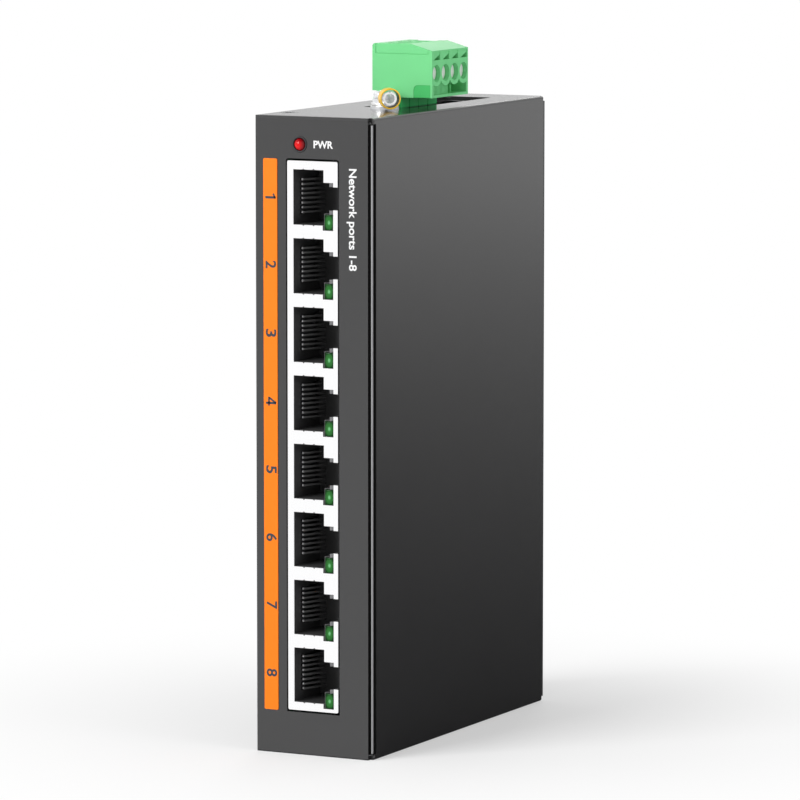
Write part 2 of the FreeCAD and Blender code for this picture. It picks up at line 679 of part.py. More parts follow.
# Contact springs: eight bent wires in each socket, from the board to their free ends.
def make_contacts():
    deep = "cavity_depth - fit_gap"
    low = "cavity_left - channel_deep"
    side = [
        ("board_face", f"{deep} - contact_thick"),
        (low, f"{deep} - contact_thick"),
        (low, "contact_front"),
        ("cavity_left + contact_thick", "contact_front"),
        ("cavity_left + contact_lift", "contact_front + contact_run - contact_thick"),
        ("cavity_left + contact_lift", "contact_front + contact_run"),
        ("cavity_left + contact_thick", "contact_front + contact_thick"),
        (f"{low} + contact_thick", "contact_front + contact_thick"),
        (f"{low} + contact_thick", deep),
        ("board_face", deep),
    ]
    for i in range(PORTS):
        springs = []
        for k in range(CONTACTS):
            body = new_body(f"spring_body_{i + 1}_{k + 1}")
            pad(body, outline(sketch_on(body, "XY_Plane", f"spring_side_{i + 1}_{k + 1}"), side),
                "contact_wide")
            z = f"{port_z(i)} + {k - (CONTACTS - 1) / 2} * contact_pitch - contact_wide / 2"
            place(body, "0", "0", z)
            springs.append(body)
        node(together(f"spring_set_{i + 1}", springs), f"contacts_{i + 1}")


# Light pipes: a green window beside each socket.
def make_lamps():
    for i in range(PORTS):
        xs, zs = lamp_spans(port_z(i))
        lamp = block(f"lamp_{i + 1}", xs, ("0", "shield_thick + lamp_long"), zs)
        bind(lamp, "Length", "lamp_span - 2 * fit_gap")
        bind(lamp, "Height", "lamp_tall - 2 * fit_gap")
        node(lamp, f"port_light_{i + 1}", f"({xs[0]} + fit_gap)", "0", f"{zs[0]} + fit_gap")


# Number strip: a thin label on the front face beside the sockets.
def make_strip():
    strip = rounded_window("strip_body", ("strip_left", "strip_left + strip_span"),
                           ("-strip_thick", "0"),
                           ("shield_low - strip_more", "shield_high + strip_more"),
                           "window_corner / 2", 1)
    node(strip, "number_strip")


# Power light: a domed lens in the panel, in a holder on the board.
def make_power_light():
    centre = ("power_x", "power_z")
    dome = doc.addObject("Part::Sphere", "power_dome")
    bind(dome, "Radius", "power_radius")
    place(dome, "power_x", "power_radius - power_proud", "power_z")
    barrel = rod("power_barrel", "power_radius", "Y", ("power_radius - power_proud", "power_long"), centre)
    node(join("power_lens", [dome, barrel]), "power_light")
    base = block("holder_base", ("board_face", "power_x + holder_side / 2"),
                 ("power_long", "power_long + holder_long"),
                 ("power_z - holder_side / 2", "power_z + holder_side / 2"))
    node(base, "power_light_holder", "board_face", "power_long", "power_z - holder_side / 2")


def board_screw_spots():
    spots = []
    for y in ("board_screw_y", "case_depth - board_screw_back"):
        for z in ("board_screw_end", "case_height - board_screw_end"):
            spots.append((y, z))
    return spots


# Circuit board with its fixing holes, standoffs on the left cover and screws.
def make_board():
    plate = block("board_plate", ("board_left", "board_face"),
                  ("wall + board_edge / 2", "inside_back - board_edge"),
                  ("wall + board_edge", "inside_top - board_edge"))
    holes = []
    posts = []
    screws = []
    for i, (y, z) in enumerate(board_screw_spots()):
        centre = (y, z)
        holes.append(rod(f"board_hole_{i}", "screw_radius + fit_gap", "X",
                         ("board_left - wall", "board_face + wall"), centre))
        post = rod(f"standoff_body_{i}", "standoff_radius", "X", ("wall", "board_left"), centre)
        bore = rod(f"standoff_bore_{i}", "screw_radius + fit_gap", "X",
                   ("board_left - standoff_long + wall", "board_left + wall"), centre)
        posts.append(cut(f"standoff_{i}", post, [bore]))
        head = rod(f"board_screw_head_{i}", "screw_head", "X",
                   ("board_face", "board_face + screw_head_tall"), centre)
        shank = rod(f"board_screw_shank_{i}", "screw_radius", "X",
                    ("board_left - standoff_long / 2", "board_face"), centre)
        slot = block(f"board_screw_slot_{i}",
                     ("board_face + screw_head_tall - slot_deep", "board_face + screw_head_tall + wall"),
                     (f"{y} - 2 * screw_head", f"{y} + 2 * screw_head"),
                     (f"{z} - slot_wide / 2", f"{z} + slot_wide / 2"))
        screws.append(cut(f"board_screw_{i}", join(f"board_screw_solid_{i}", [head, shank]), [slot]))
    node(cut("board", plate, holes), "circuit_board")
    node(together("standoff_set", posts), "board_standoffs")
    node(together("board_screw_set", screws), "board_screws")


# Electronic parts that stand on the board's right face.
def make_board_parts():
    for i in range(PORTS // 2):
        z = f"port_row_z + {2 * i + 0.5} * port_pitch"
        block_i = block(f"magnet_{i + 1}", ("0", "magnet_thick"), ("0", "magnet_long"), ("0", "magnet_tall"))
        node(block_i, f"transformer_{i + 1}", "board_face", "magnet_y", f"{z} - magnet_tall / 2")
    chip = block("chip", ("0", "chip_thick"), ("0", "chip_side"), ("0", "chip_side"))
    node(chip, "switch_chip", "board_face", "chip_y", "row_middle - chip_side / 2")
    make_heat_sink()
    memory = block("memory", ("0", "chip_thick"), ("0", "memory_wide"), ("0", "memory_long"))
    node(memory, "memory_chip", "board_face", "sink_y",
         "row_middle + sink_side / 2 + 2 * part_space")
    crystal = block("crystal_can", ("0", "crystal_thick"), ("0", "crystal_wide"), ("0", "crystal_long"))
    node(crystal, "clock_crystal", "board_face", "sink_y",
         "row_middle - sink_side / 2 - 2 * part_space - crystal_long")
    coil = block("coil", ("0", "coil_thick"), ("0", "coil_side"), ("0", "coil_side"))
    node(coil, "power_inductor", "board_face", "rear_parts_y - part_space", "row_middle + part_space")
    first = "row_middle + 2 * part_space + coil_side + capacitor_radius"
    for i in range(2):
        z = f"{first} + {i} * (2 * capacitor_radius + part_space)"
        can = rod(f"capacitor_can_{i + 1}", "capacitor_radius", "X", ("0", "capacitor_long"), ("0", "0"))
        node(can, f"capacitor_{i + 1}", "board_face", "(rear_parts_y + capacitor_radius)", z)


def make_heat_sink():
    fins = [block("sink_plate", ("chip_face", "chip_face + sink_base"), ("sink_y", "sink_y + sink_side"),
                  ("row_middle - sink_side / 2", "row_middle + sink_side / 2"))]
    count = 7
    for i in range(count):
        start = f"sink_y + {i} * (sink_side - fin_thick) / {count - 1}"
        fins.append(block(f"fin_{i}", ("chip_face", "chip_face + sink_base + sink_tall"),
                          (start, f"{start} + fin_thick"),
                          ("row_middle - sink_side / 2", "row_middle + sink_side / 2")))
    node(join("sink", fins), "heat_sink")


def pin_shape(name, i, more):
    """An upright header pin with its foot on the board, grown by a clearance."""
    y = pole_y(i)
    half = f"(pin_side / 2 + {more})"
    x = "plug_left + pin_x"
    foot_z = "header_low + 2 * pin_side"
    foot = block(f"{name}_foot_{i}", ("board_face", f"{x} + {half}"), (f"{y} - {half}", f"{y} + {half}"),
                 (f"{foot_z} - {half}", f"{foot_z} + {half}"))
    stem = block(f"{name}_stem_{i}", (f"{x} - {half}", f"{x} + {half}"), (f"{y} - {half}", f"{y} + {half}"),
                 (f"{foot_z} - {half}", f"cages_z - 2 * fit_gap + {more}"))
    return join(f"{name}_{i}", [foot, stem])


# Terminal header: a shrouded socket on the board that stands out of the top opening.
def make_header():
    right = "plug_left + header_right"
    rear = "plug_front + plug_long"
    shoulder = "case_height - header_shoulder"
    pieces = [
        block("header_base", ("board_face", right), ("plug_front", rear), ("header_low", shoulder)),
        block("header_neck", ("plug_left + header_left", right), ("plug_front", rear),
              ("header_low", "plug_low - fit_gap")),
    ]
    nose_x = "plug_left + nose_left"
    tools = [block("header_room", (f"{nose_x} - fit_gap", f"{nose_x} + nose_span + fit_gap"),
                   ("plug_front + wall - fit_gap", f"{rear} - wall + fit_gap"),
                   ("header_low + header_floor", "plug_low + wall"))]
    for i in range(1, POLES):
        y = f"plug_front + {i} * pole_pitch"
        tools.append(block(f"side_groove_{i}", (f"{right} - groove_deep", f"{right} + wall"),
                           (f"{y} - groove_wide / 2", f"{y} + groove_wide / 2"),
                           ("header_low - wall", "plug_low")))
    for side, ys in enumerate((("plug_front - wall", "plug_front + groove_deep"),
                               (f"{rear} - groove_deep", f"{rear} + wall"))):
        for i in range(3):
            x = f"{right} - {i + 1} * groove_space + groove_wide"
            tools.append(block(f"end_groove_{side}_{i}", (f"{x} - groove_wide", x), ys,
                               ("header_low - wall", "plug_low")))
    for i in range(POLES):
        tools.append(pin_shape("pin_room", i, "fit_gap"))
    node(cut("header", join("header_solid", pieces), tools), "terminal_header")
    pins = [pin_shape("pin", i, "0") for i in range(POLES)]
    node(together("pin_set", pins), "header_pins")


# Terminal plug: the light green block that carries the wires and stands above the case.
def make_plug():
    body = new_body("plug_body")
    rear_x = "plug_left + nose_left"
    section = [
        ("plug_left", "plug_low + plug_step"),
        ("plug_left", "plug_high"),
        ("plug_right - bevel_span", "plug_high"),
        ("plug_right", "plug_high - bevel_drop"),
        ("plug_right", "plug_low"),
        (f"{rear_x} + nose_span", "plug_low"),
        (f"{rear_x} + nose_span", "nose_low"),
        (rear_x, "nose_low"),
        (rear_x, "plug_low + plug_step"),
    ]
    pad(body, outline(sketch_on(body, "XZ_Plane", "plug_section", "-plug_front"), section), "plug_long",
        backwards=True)
    left = value_of("plug_left")
    high = value_of("plug_high")

    def upper_left(edge):
        return along(edge, 1) and middle_at(edge, 0, left) and middle_at(edge, 2, high)

    fillet(body, "plug_corner", upper_left, "plug_round")
    rear = "plug_front + plug_long"
    band_low = "plug_low + band_low"
    band = block("band", ("plug_right - band_deep", "plug_right + wall"),
                 ("plug_front + band_end", f"{rear} - band_end"), (band_low, f"{band_low} + band_tall"))
    kept = []
    tools = []
    for i in range(POLES):
        y = pole_y(i)
        kept.append(rod(f"collar_{i}", "collar_radius", "X",
                        ("plug_right - 2 * band_deep", "plug_right + 2 * wall"), (y, "clamp_z")))
        tools.append(rod(f"clamp_hole_{i}", "clamp_hole", "X",
                         ("cages_x + cage_span - wall", "plug_right + wall"), (y, "clamp_z")))
        tools.append(block(f"wire_entry_{i}", ("cages_x - fit_gap", "cages_x + cage_span + fit_gap"),
                           (f"{y} - cage_wide / 2 - fit_gap", f"{y} + cage_wide / 2 + fit_gap"),
                           ("cages_z", "plug_high + wall")))
        tools.append(block_about(f"probe_{i}", ("plug_right", y, "plug_low + probe_up"),
                                 ("2 * probe_deep", "probe_wide", "probe_tall")))
        half = "(pin_side / 2 + 2 * fit_gap)"
        x = "plug_left + pin_x"
        tools.append(block(f"pin_hole_{i}", (f"{x} - {half}", f"{x} + {half}"),
                           (f"{y} - {half}", f"{y} + {half}"), ("nose_low - wall", "cages_z + wall")))
    for i in range(1, POLES):
        kept.append(block_about(f"rib_{i}", ("plug_right - band_deep", f"plug_front + {i} * pole_pitch",
                                             f"{band_low} + band_tall / 2"),
                                ("band_deep", "rib_thick", "2 * band_tall")))
    tools.append(cut("band_recess", band, kept))
    recess = "plug_right - end_recess_span - wall / 2"
    for side, ys in enumerate((("plug_front - wall", "plug_front + end_recess_deep"),
                               (f"{rear} - end_recess_deep", f"{rear} + wall"))):
        tools.append(block(f"end_recess_{side}", (recess, f"{recess} + end_recess_span"), ys,
                           ("plug_low + seam", "plug_low + seam + end_recess_tall")))
    nose_ends = []
    for side, ys in enumerate((("plug_front - wall", "plug_front + wall"),
                               (f"{rear} - wall", f"{rear} + wall"))):
        nose_ends.append(block(f"nose_end_{side}", ("plug_left - wall", "plug_right"), ys,
                               ("nose_low - wall", "plug_low")))
    node(cut("plug", body, tools + nose_ends), "terminal_plug")


# Clamp cages and clamp screws inside the plug.
def make_clamps():
    cages = []
    screws = []
    for i in range(POLES):
        y = pole_y(i)
        ys = (f"{y} - cage_wide / 2", f"{y} + cage_wide / 2")
        solid = block(f"cage_solid_{i}", ("cages_x", "cages_x + cage_span"), ys,
                      ("cages_z", "cages_z + cage_tall"))
        room = block(f"cage_room_{i}", ("cages_x + cage_wall", "cages_x + cage_span - cage_wall"),
                     (f"{y} - cage_wide / 2 + cage_wall", f"{y} + cage_wide / 2 - cage_wall"),
                     ("cages_z + cage_wall", "cages_z + cage_tall + wall"))
        hole = rod(f"cage_hole_{i}", "clamp_shank + fit_gap", "X",
                   ("cages_x + cage_span - 2 * cage_wall", "cages_x + cage_span + wall"), (y, "clamp_z"))
        cages.append(cut(f"cage_{i}", solid, [room, hole]))
        face = "plug_right - clamp_sunk"
        head = rod(f"clamp_head_{i}", "clamp_head", "X", (f"{face} - screw_head_tall", face), (y, "clamp_z"))
        shank = rod(f"clamp_shank_{i}", "clamp_shank", "X",
                    ("cages_x + cage_span - 2 * cage_wall", f"{face} - screw_head_tall"), (y, "clamp_z"))
        slot = block(f"clamp_slot_{i}", (f"{face} - slot_deep", f"{face} + wall"),
                     (f"{y} - 2 * clamp_head", f"{y} + 2 * clamp_head"),
                     ("clamp_z - slot_wide / 2", "clamp_z + slot_wide / 2"))
        screws.append(cut(f"clamp_screw_{i}", join(f"clamp_screw_solid_{i}", [head, shank]), [slot]))
    node(together("cage_set", cages), "clamp_cages")
    node(together("clamp_screw_set", screws), "clamp_screws")


def hex_prism(name, axis, span, centre):
    piece = doc.addObject("Part::Prism", name)
    piece.Polygon = 6
    bind(piece, "Circumradius", "nut_across / sqrt(3)")
    bind(piece, "Height", between(*span))
    aim(piece, axis, span[0], centre)
    return piece


# Earth point in the top plate: screw, washers, ring lug with its sleeve, and a nut inside.
def make_earth_point():
    centre = ("earth_x", "earth_y")
    hole = "screw_radius + fit_gap"

    def ring(name, radius, span):
        disc = rod(name + "_disc", radius, "Z", span, centre)
        return disc, rod(name + "_hole", hole, "Z", (f"{span[0]} - wall", f"{span[1]} + wall"), centre)

    disc, bore = ring("flat_washer", "washer_radius", ("case_height", "lug_low"))
    node(cut("flat_washer", disc, [bore]), "earth_flat_washer")

    disc, bore = ring("spring_washer", "spring_washer_radius", ("lug_high", "earth_head_low"))
    split = block("washer_split", ("earth_x - 2 * washer_radius", "earth_x"),
                  ("earth_y - seam", "earth_y + seam"), ("lug_high - wall", "earth_head_low + wall"))
    node(cut("spring_washer", disc, [bore, split]), "earth_spring_washer")

    head_top = "earth_head_low + earth_head_tall"
    head = rod("earth_head", "earth_head_radius", "Z", ("earth_head_low", head_top), centre)
    shank = rod("earth_shank", "screw_radius", "Z", ("earth_head_low - earth_long", "earth_head_low"),
                centre)
    cross = []
    cross_long = "1.2 * earth_head_radius"
    for turn, sides in enumerate(((cross_long, "slot_wide"), ("slot_wide", cross_long))):
        cross.append(block_about(f"earth_cross_{turn}", ("earth_x", "earth_y", head_top),
                                 (sides[0], sides[1], "2 * slot_deep")))
    node(cut("earth_screw_body", join("earth_screw_solid", [head, shank]), cross), "earth_screw")

    prism = hex_prism("earth_nut_prism", "Z", ("inside_top - nut_tall", "inside_top"), centre)
    bore = rod("earth_nut_bore", hole, "Z", ("inside_top - 2 * nut_tall", "inside_top + wall"), centre)
    node(cut("earth_nut_body", prism, [bore]), "earth_nut")
    make_lug()


def make_lug():
    """The lug is drawn along minus Y from its ring's centre, then turned to its angle."""
    barrel_end = "-(barrel_start + barrel_long)"
    axis_centre = ("0", "barrel_up")
    ring = rod("lug_ring", "lug_ring_radius", "Z", ("0", "lug_thick"), ("0", "0"))
    palm = block("lug_palm", ("-barrel_bore", "barrel_bore"), ("-(sleeve_start - fit_gap)", "0"),
                 ("0", "lug_thick"))
    tube = rod("lug_tube", "barrel_radius", "Y", (barrel_end, "-barrel_start"), axis_centre)
    tools = [
        rod("lug_hole", "screw_radius + fit_gap", "Z", ("-wall", "2 * wall"), ("0", "0")),
        rod("lug_bore", "barrel_bore", "Y", (f"{barrel_end} - wall", "0"), axis_centre),
    ]
    lug = cut("lug", join("lug_solid", [ring, palm, tube]), tools)
    sleeve_end = "-(sleeve_start + sleeve_long)"
    sleeve = cut("sleeve",
                 rod("sleeve_tube", "sleeve_radius", "Y", (sleeve_end, "-sleeve_start"), axis_centre),
                 [rod("sleeve_bore", "barrel_radius + sleeve_gap", "Y",
                      (f"{sleeve_end} - wall", "-sleeve_start + wall"), axis_centre)])
    for piece, label in ((lug, "earth_lug"), (sleeve, "lug_sleeve")):
        piece.Placement = Placement(Vector(), Rotation(Vector(0, 0, 1), 1))
        node(piece, label, "earth_x", "earth_y", "lug_low")
        bind(piece, "Placement.Rotation.Angle", "lug_angle")


# Rail bracket: fixed to the rear, with a hook over the rail's upper edge and a channel for the latch.
def make_bracket():
    right = "bracket_right"
    claw_low = "rail_high - claw_grip"
    pieces = [
        block("bracket_solid", ("bracket_left", right), ("case_depth", "seat_y"),
              ("bracket_low", "bracket_high")),
        block("hook_shoulder", ("bracket_left", right), ("case_depth", "rear_end"),
              ("rail_high + rail_play", "bracket_high")),
        block("hook_claw", ("bracket_left", right), ("claw_y", "rear_end"), (claw_low, "bracket_high")),
    ]
    tools = [
        block("latch_channel", ("channel_left", "channel_right"), ("channel_y", "channel_end_y"),
              ("bracket_low - wall", "channel_high")),
        block("latch_slit", ("channel_left + lip_reach", "channel_right - lip_reach"),
              ("channel_y", "seat_y + wall"), ("bracket_low - wall", "channel_high")),
    ]
    screws = []
    nuts = []
    for i, z in enumerate(bracket_screw_heights()):
        centre = ("bracket_middle", z)
        tools.append(rod(f"bracket_hole_{i}", "screw_radius + fit_gap", "Y",
                         ("case_depth - wall", "seat_y + wall"), centre))
        cone = ("seat_y - bracket_head + screw_radius", "seat_y")
        tools.append(taper(f"bracket_sink_{i}", ("screw_radius + fit_gap", "bracket_head + fit_gap"), "Y",
                           cone, centre))
        head = taper(f"bracket_screw_head_{i}", ("screw_radius", "bracket_head"), "Y", cone, centre)
        shank = rod(f"bracket_screw_shank_{i}", "screw_radius", "Y",
                    ("inside_back - nut_tall - wall / 2", cone[0]), centre)
        slot = block(f"bracket_screw_slot_{i}",
                     ("bracket_middle - 2 * bracket_head", "bracket_middle + 2 * bracket_head"),
                     ("seat_y - slot_deep", "seat_y + wall"),
                     (f"{z} - slot_wide / 2", f"{z} + slot_wide / 2"))
        screws.append(cut(f"bracket_screw_{i}", join(f"bracket_screw_solid_{i}", [head, shank]), [slot]))
        prism = hex_prism(f"bracket_nut_prism_{i}", "Y", ("inside_back - nut_tall", "inside_back"), centre)
        bore = rod(f"bracket_nut_bore_{i}", "screw_radius + fit_gap", "Y",
                   ("inside_back - 2 * nut_tall", "inside_back + wall"), centre)
        nuts.append(cut(f"bracket_nut_{i}", prism, [bore]))
    node(cut("bracket", join("bracket_shape", pieces), tools), "rail_bracket")
    node(together("bracket_screw_set", screws), "bracket_screws")
    node(together("bracket_nut_set", nuts), "bracket_nuts")


# Rail latch: a slider in the bracket's channel whose claw holds the rail's lower edge.
def make_latch():
    left = "channel_left + slide_gap"
    right = "channel_right - slide_gap"
    inner_left = "channel_left + lip_reach + slide_gap"
    low = "bracket_low - pull_long"
    neck_y = "channel_end_y - 2 * slide_gap"
    edge_z = "rail_low - rail_play"
    shoulder_z = f"{edge_z} - latch_shoulder"
    slider = block("latch_slider", (left, right), ("channel_y + slide_gap", "channel_end_y - slide_gap"),
                   (low, "latch_high"))
    body = new_body("claw_body")
    hook = [
        (neck_y, shoulder_z),
        ("rear_end", shoulder_z),
        ("rear_end", edge_z),
        ("claw_y + claw_thick / 3", "rail_low + claw_grip"),
        ("claw_y", "rail_low + claw_grip"),
        ("claw_y", edge_z),
        (neck_y, edge_z),
    ]
    pad(body, outline(sketch_on(body, "YZ_Plane", "claw_side", inner_left), hook),
        "bracket_span - 2 * (channel_side + lip_reach + slide_gap)")
    slot = block_about("latch_slot", ("bracket_middle", "channel_y", f"{low} + pull_slot_tall * 1.5"),
                       ("pull_slot", "4 * bracket_thick", "pull_slot_tall"))
    node(cut("latch", join("latch_solid", [slider, body]), [slot]), "rail_latch")


# Latch spring: a small coil between the latch and the end of its channel.
def make_spring():
    gap = value_of("fit_gap")
    wire = value_of("spring_wire")
    radius = value_of("spring_radius")
    room = value_of("spring_room")
    pitch = value_of("spring_pitch")
    tall = room - 2 * (gap + wire)
    path = Part.makeHelix(pitch, tall, radius)
    start = Vector(radius, 0, 0)
    circle = Part.Wire([Part.makeCircle(wire, start, path.Edges[0].tangentAt(path.Edges[0].FirstParameter))])
    coil = Part.Wire(path.Edges).makePipeShell([circle], True, True)
    spring = doc.addObject("Part::Feature", "spring")
    spring.Shape = coil
    node(spring, "latch_spring", "bracket_middle", "(channel_y + channel_end_y) / 2",
         "latch_high + fit_gap + spring_wire")


make_housing()
make_cover()
make_cover_screws()
make_shield()
make_jacks()
make_contacts()
make_lamps()
make_strip()
make_power_light()
make_board()
make_board_parts()
make_header()
make_plug()
make_clamps()
make_earth_point()
make_bracket()
make_latch()
make_spring()
doc.recompute()

# Every object has to be sound before anything is written.
for piece in doc.Objects:
    if "Invalid" in piece.State or "Error" in piece.State:
        raise RuntimeError(f"{piece.Name} did not build: {piece.State}")
os.makedirs("parts", exist_ok=True)
for piece in NODES:
    if piece.Shape.isNull() or not piece.Shape.isValid():
        raise RuntimeError(f"{piece.Label} is not a sound shape")
    piece.Shape.exportStep(f"parts/{piece.Label}.step")
    print(piece.Label, len(piece.Shape.Solids), "solid", round(piece.Shape.Volume, 1), "mm3")
print(len(NODES), "nodes")
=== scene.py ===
# %% [markdown]
# # A network switch for a mounting rail
# The object is a slim dark sheet-metal box with a bright column of eight modular sockets, an orange
# number strip, a green terminal block on top and a sprung clip behind. The solids are already made at
# their real size; this notebook dresses them: it keeps the folded sheet parts, models the small
# moulded and pressed pieces again with soft edges, and gives each surface its own finish.

# %% Load the solids
import math

import bmesh
import bpy
from mathutils import Matrix, Vector


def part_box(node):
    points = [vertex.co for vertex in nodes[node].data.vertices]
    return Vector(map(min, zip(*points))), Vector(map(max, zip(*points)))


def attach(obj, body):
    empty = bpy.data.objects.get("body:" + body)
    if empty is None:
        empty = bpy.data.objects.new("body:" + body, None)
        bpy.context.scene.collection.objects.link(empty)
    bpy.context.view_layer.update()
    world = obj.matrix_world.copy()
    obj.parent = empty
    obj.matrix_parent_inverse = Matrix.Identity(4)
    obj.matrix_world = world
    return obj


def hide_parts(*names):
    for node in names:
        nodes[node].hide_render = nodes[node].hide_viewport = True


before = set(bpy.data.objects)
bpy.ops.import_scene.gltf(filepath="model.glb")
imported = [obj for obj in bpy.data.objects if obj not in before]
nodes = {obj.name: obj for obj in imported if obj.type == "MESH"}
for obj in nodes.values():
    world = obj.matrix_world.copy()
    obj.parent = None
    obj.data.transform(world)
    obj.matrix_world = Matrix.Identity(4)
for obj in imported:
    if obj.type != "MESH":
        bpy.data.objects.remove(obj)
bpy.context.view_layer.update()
scene = bpy.context.scene
scene.view_settings.view_transform = "Standard"
print(len(nodes), "solids loaded")

# %% [markdown]
# ## Places
# A bench fitter measures from an edge, so every place here is given in millimetres from the left
# side, the front face and the base of the case. One function turns such a place into the frame.

# %% Measure from the case
MM = 0.001
case_low, case_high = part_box("housing_shell")


def at(x, y, z):
    """A point in millimetres from the case's left side, front face and base."""
    return Vector((case_low.x + x * MM, case_low.y + y * MM, case_low.z + z * MM))


def reach(node):
    """A solid's lowest and highest corner in those millimetres."""
    low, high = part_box(node)
    return (low - case_low) / MM, (high - case_low) / MM


case_size = (case_high - case_low) / MM
print("case in mm:", [round(side, 1) for side in case_size])

# %% [markdown]
# ## Camera
# The photograph is a long-lens studio picture taken from the front right and a little above. Its
# place was worked out from the case's corners, so the lens is long and there is no shift.

# %% Place the camera
TURN = math.radians(26.795)
TILT = math.radians(6.747)
camera_data = bpy.data.cameras.new("camera")
camera = bpy.data.objects.new("camera", camera_data)
scene.collection.objects.link(camera)
camera.location = at(572.74, -1064.39, 220.70)
camera.rotation_euler = (math.pi / 2 - TILT, 0.0, TURN)
camera_data.lens = 250.32
camera_data.sensor_width = 36.0
camera_data.clip_end = 50.0
scene.camera = camera
print("camera distance in m:", round(camera.location.length, 3))

# %% [markdown]
# ## Colour helper
# Colours are read off a screen as numbers from 0 to 255, while a shader wants linear light. A small
# function converts them once, so the written colours stay easy to compare with a picture.

# %% Convert screen colours


def paint(red, green, blue):
    """A screen colour from 0 to 255 as linear light."""
    linear = []
    for channel in (red, green, blue):
        share = channel / 255
        linear.append(share / 12.92 if share <= 0.04045 else ((share + 0.055) / 1.055) ** 2.4)
    return tuple(linear)


print("mid grey:", [round(value, 3) for value in paint(128, 128, 128)])

# %% [markdown]
# ## Node helpers
# A material is a small graph, and these graphs need the same few things again and again: a sum, the
# place of a point on the object, a number that follows another between two limits, and a colour that
# follows a number. As functions they let each finish be read in a few plain lines.

# %% Write the node helpers


def operate(tree, node, kind, values):
    """A math node of either sort on sockets, numbers or vectors."""
    made = tree.nodes.new(node)
    made.operation = kind
    for number, value in enumerate(values):
        if isinstance(value, bpy.types.NodeSocket):
            tree.links.new(value, made.inputs[number])
        else:
            made.inputs[number].default_value = value
    return made


def arithmetic(tree, kind, *values):
    return operate(tree, "ShaderNodeMath", kind, values).outputs[0]


def on_vectors(tree, kind, *values):
    made = operate(tree, "ShaderNodeVectorMath", kind, values)
    return made.outputs["Value" if kind in ("LENGTH", "DISTANCE") else "Vector"]


def place_of(tree):
    """A point's place in the object's own coordinates."""
    return tree.nodes.new("ShaderNodeTexCoord").outputs["Object"]


def split(tree, place):
    """The X, Y and Z of a place."""
    parts = tree.nodes.new("ShaderNodeSeparateXYZ")
    tree.links.new(place, parts.inputs[0])
    return parts.outputs


def follow(tree, value, start, end, low=0.0, high=1.0, shape="LINEAR"):
    """A number that goes from low to high while another goes from start to end."""
    made = tree.nodes.new("ShaderNodeMapRange")
    made.interpolation_type = shape
    tree.links.new(value, made.inputs["Value"])
    for name, limit in (("From Min", start), ("From Max", end), ("To Min", low), ("To Max", high)):
        made.inputs[name].default_value = limit
    return made.outputs[0]


def colour_along(material, share, stops):
    """Give a finish its colour from a ramp, whose stops are a share and a colour each."""
    tree = material.node_tree
    ramp = tree.nodes.new("ShaderNodeValToRGB")
    elements = ramp.color_ramp.elements
    for number, (position, colour) in enumerate((stops[0], stops[-1])):
        elements[number].position = position
        elements[number].color = (*colour, 1.0)
    for position, colour in stops[1:-1]:
        elements.new(position).color = (*colour, 1.0)
    tree.links.new(share, ramp.inputs["Fac"])
    tree.links.new(ramp.outputs["Color"], tree.nodes["uneven"].inputs["Colour"])


print("node helpers ready")

# %% [markdown]
# ## Shared surface effects
# Real plastic and paint are never quite even: the tone drifts, the gloss drifts more, and a fine
# grain breaks up the highlights. One node group gives all three from the object's own coordinates,
# so that each material only has to say how much of each it wants.

# %% Build the shared node group
GROUP_INPUTS = {"Colour": (0.5, 0.5, 0.5, 1.0), "Gloss": 0.4, "Tone drift": 0.05, "Gloss drift": 0.05,
                "Drift scale": 120.0, "Grain scale": 2500.0, "Stretch": (1.0, 1.0, 1.0)}
GROUP_KINDS = {"Colour": "NodeSocketColor", "Stretch": "NodeSocketVector"}


def surface_group():
    """Tone, gloss and grain that vary over a surface."""
    group = bpy.data.node_groups.new("uneven surface", "ShaderNodeTree")
    for name, value in GROUP_INPUTS.items():
        kind = GROUP_KINDS.get(name, "NodeSocketFloat")
        socket = group.interface.new_socket(name=name, in_out="INPUT", socket_type=kind)
        socket.default_value = value
    for name in ("Colour", "Roughness", "Grain"):
        kind = GROUP_KINDS.get(name, "NodeSocketFloat")
        group.interface.new_socket(name=name, in_out="OUTPUT", socket_type=kind)
    link = group.links.new
    entry = group.nodes.new("NodeGroupInput").outputs
    leave = group.nodes.new("NodeGroupOutput").inputs
    stretched = on_vectors(group, "MULTIPLY", place_of(group), entry["Stretch"])
    patterns = []
    for scale, detail in (("Drift scale", 4.0), ("Grain scale", 2.0)):
        noise = group.nodes.new("ShaderNodeTexNoise")
        noise.inputs["Detail"].default_value = detail
        link(stretched, noise.inputs["Vector"])
        link(entry[scale], noise.inputs["Scale"])
        patterns.append(noise.outputs["Fac"])
    centred = arithmetic(group, "SUBTRACT", patterns[0], 0.5)
    tone = arithmetic(group, "MULTIPLY_ADD", centred, entry["Tone drift"], 1.0)
    shade = group.nodes.new("ShaderNodeVectorMath")
    shade.operation = "SCALE"
    link(entry["Colour"], shade.inputs[0])
    link(tone, shade.inputs["Scale"])
    rough = arithmetic(group, "MULTIPLY_ADD", centred, entry["Gloss drift"], entry["Gloss"])
    link(shade.outputs[0], leave["Colour"])
    link(rough, leave["Roughness"])
    link(patterns[1], leave["Grain"])
    return group


UNEVEN = surface_group()
print("shared effect:", UNEVEN.name)

# %% [markdown]
# ## Finishes
# Each finish is one Principled shader fed by the shared group. Paint and plastic differ in colour,
# gloss and grain; plated metal is mostly metallic, and drawn or stamped metal gets a stretched grain.
# Numbers that are the same all over, such as the coat, are set on the shader itself.

# %% Make one finish


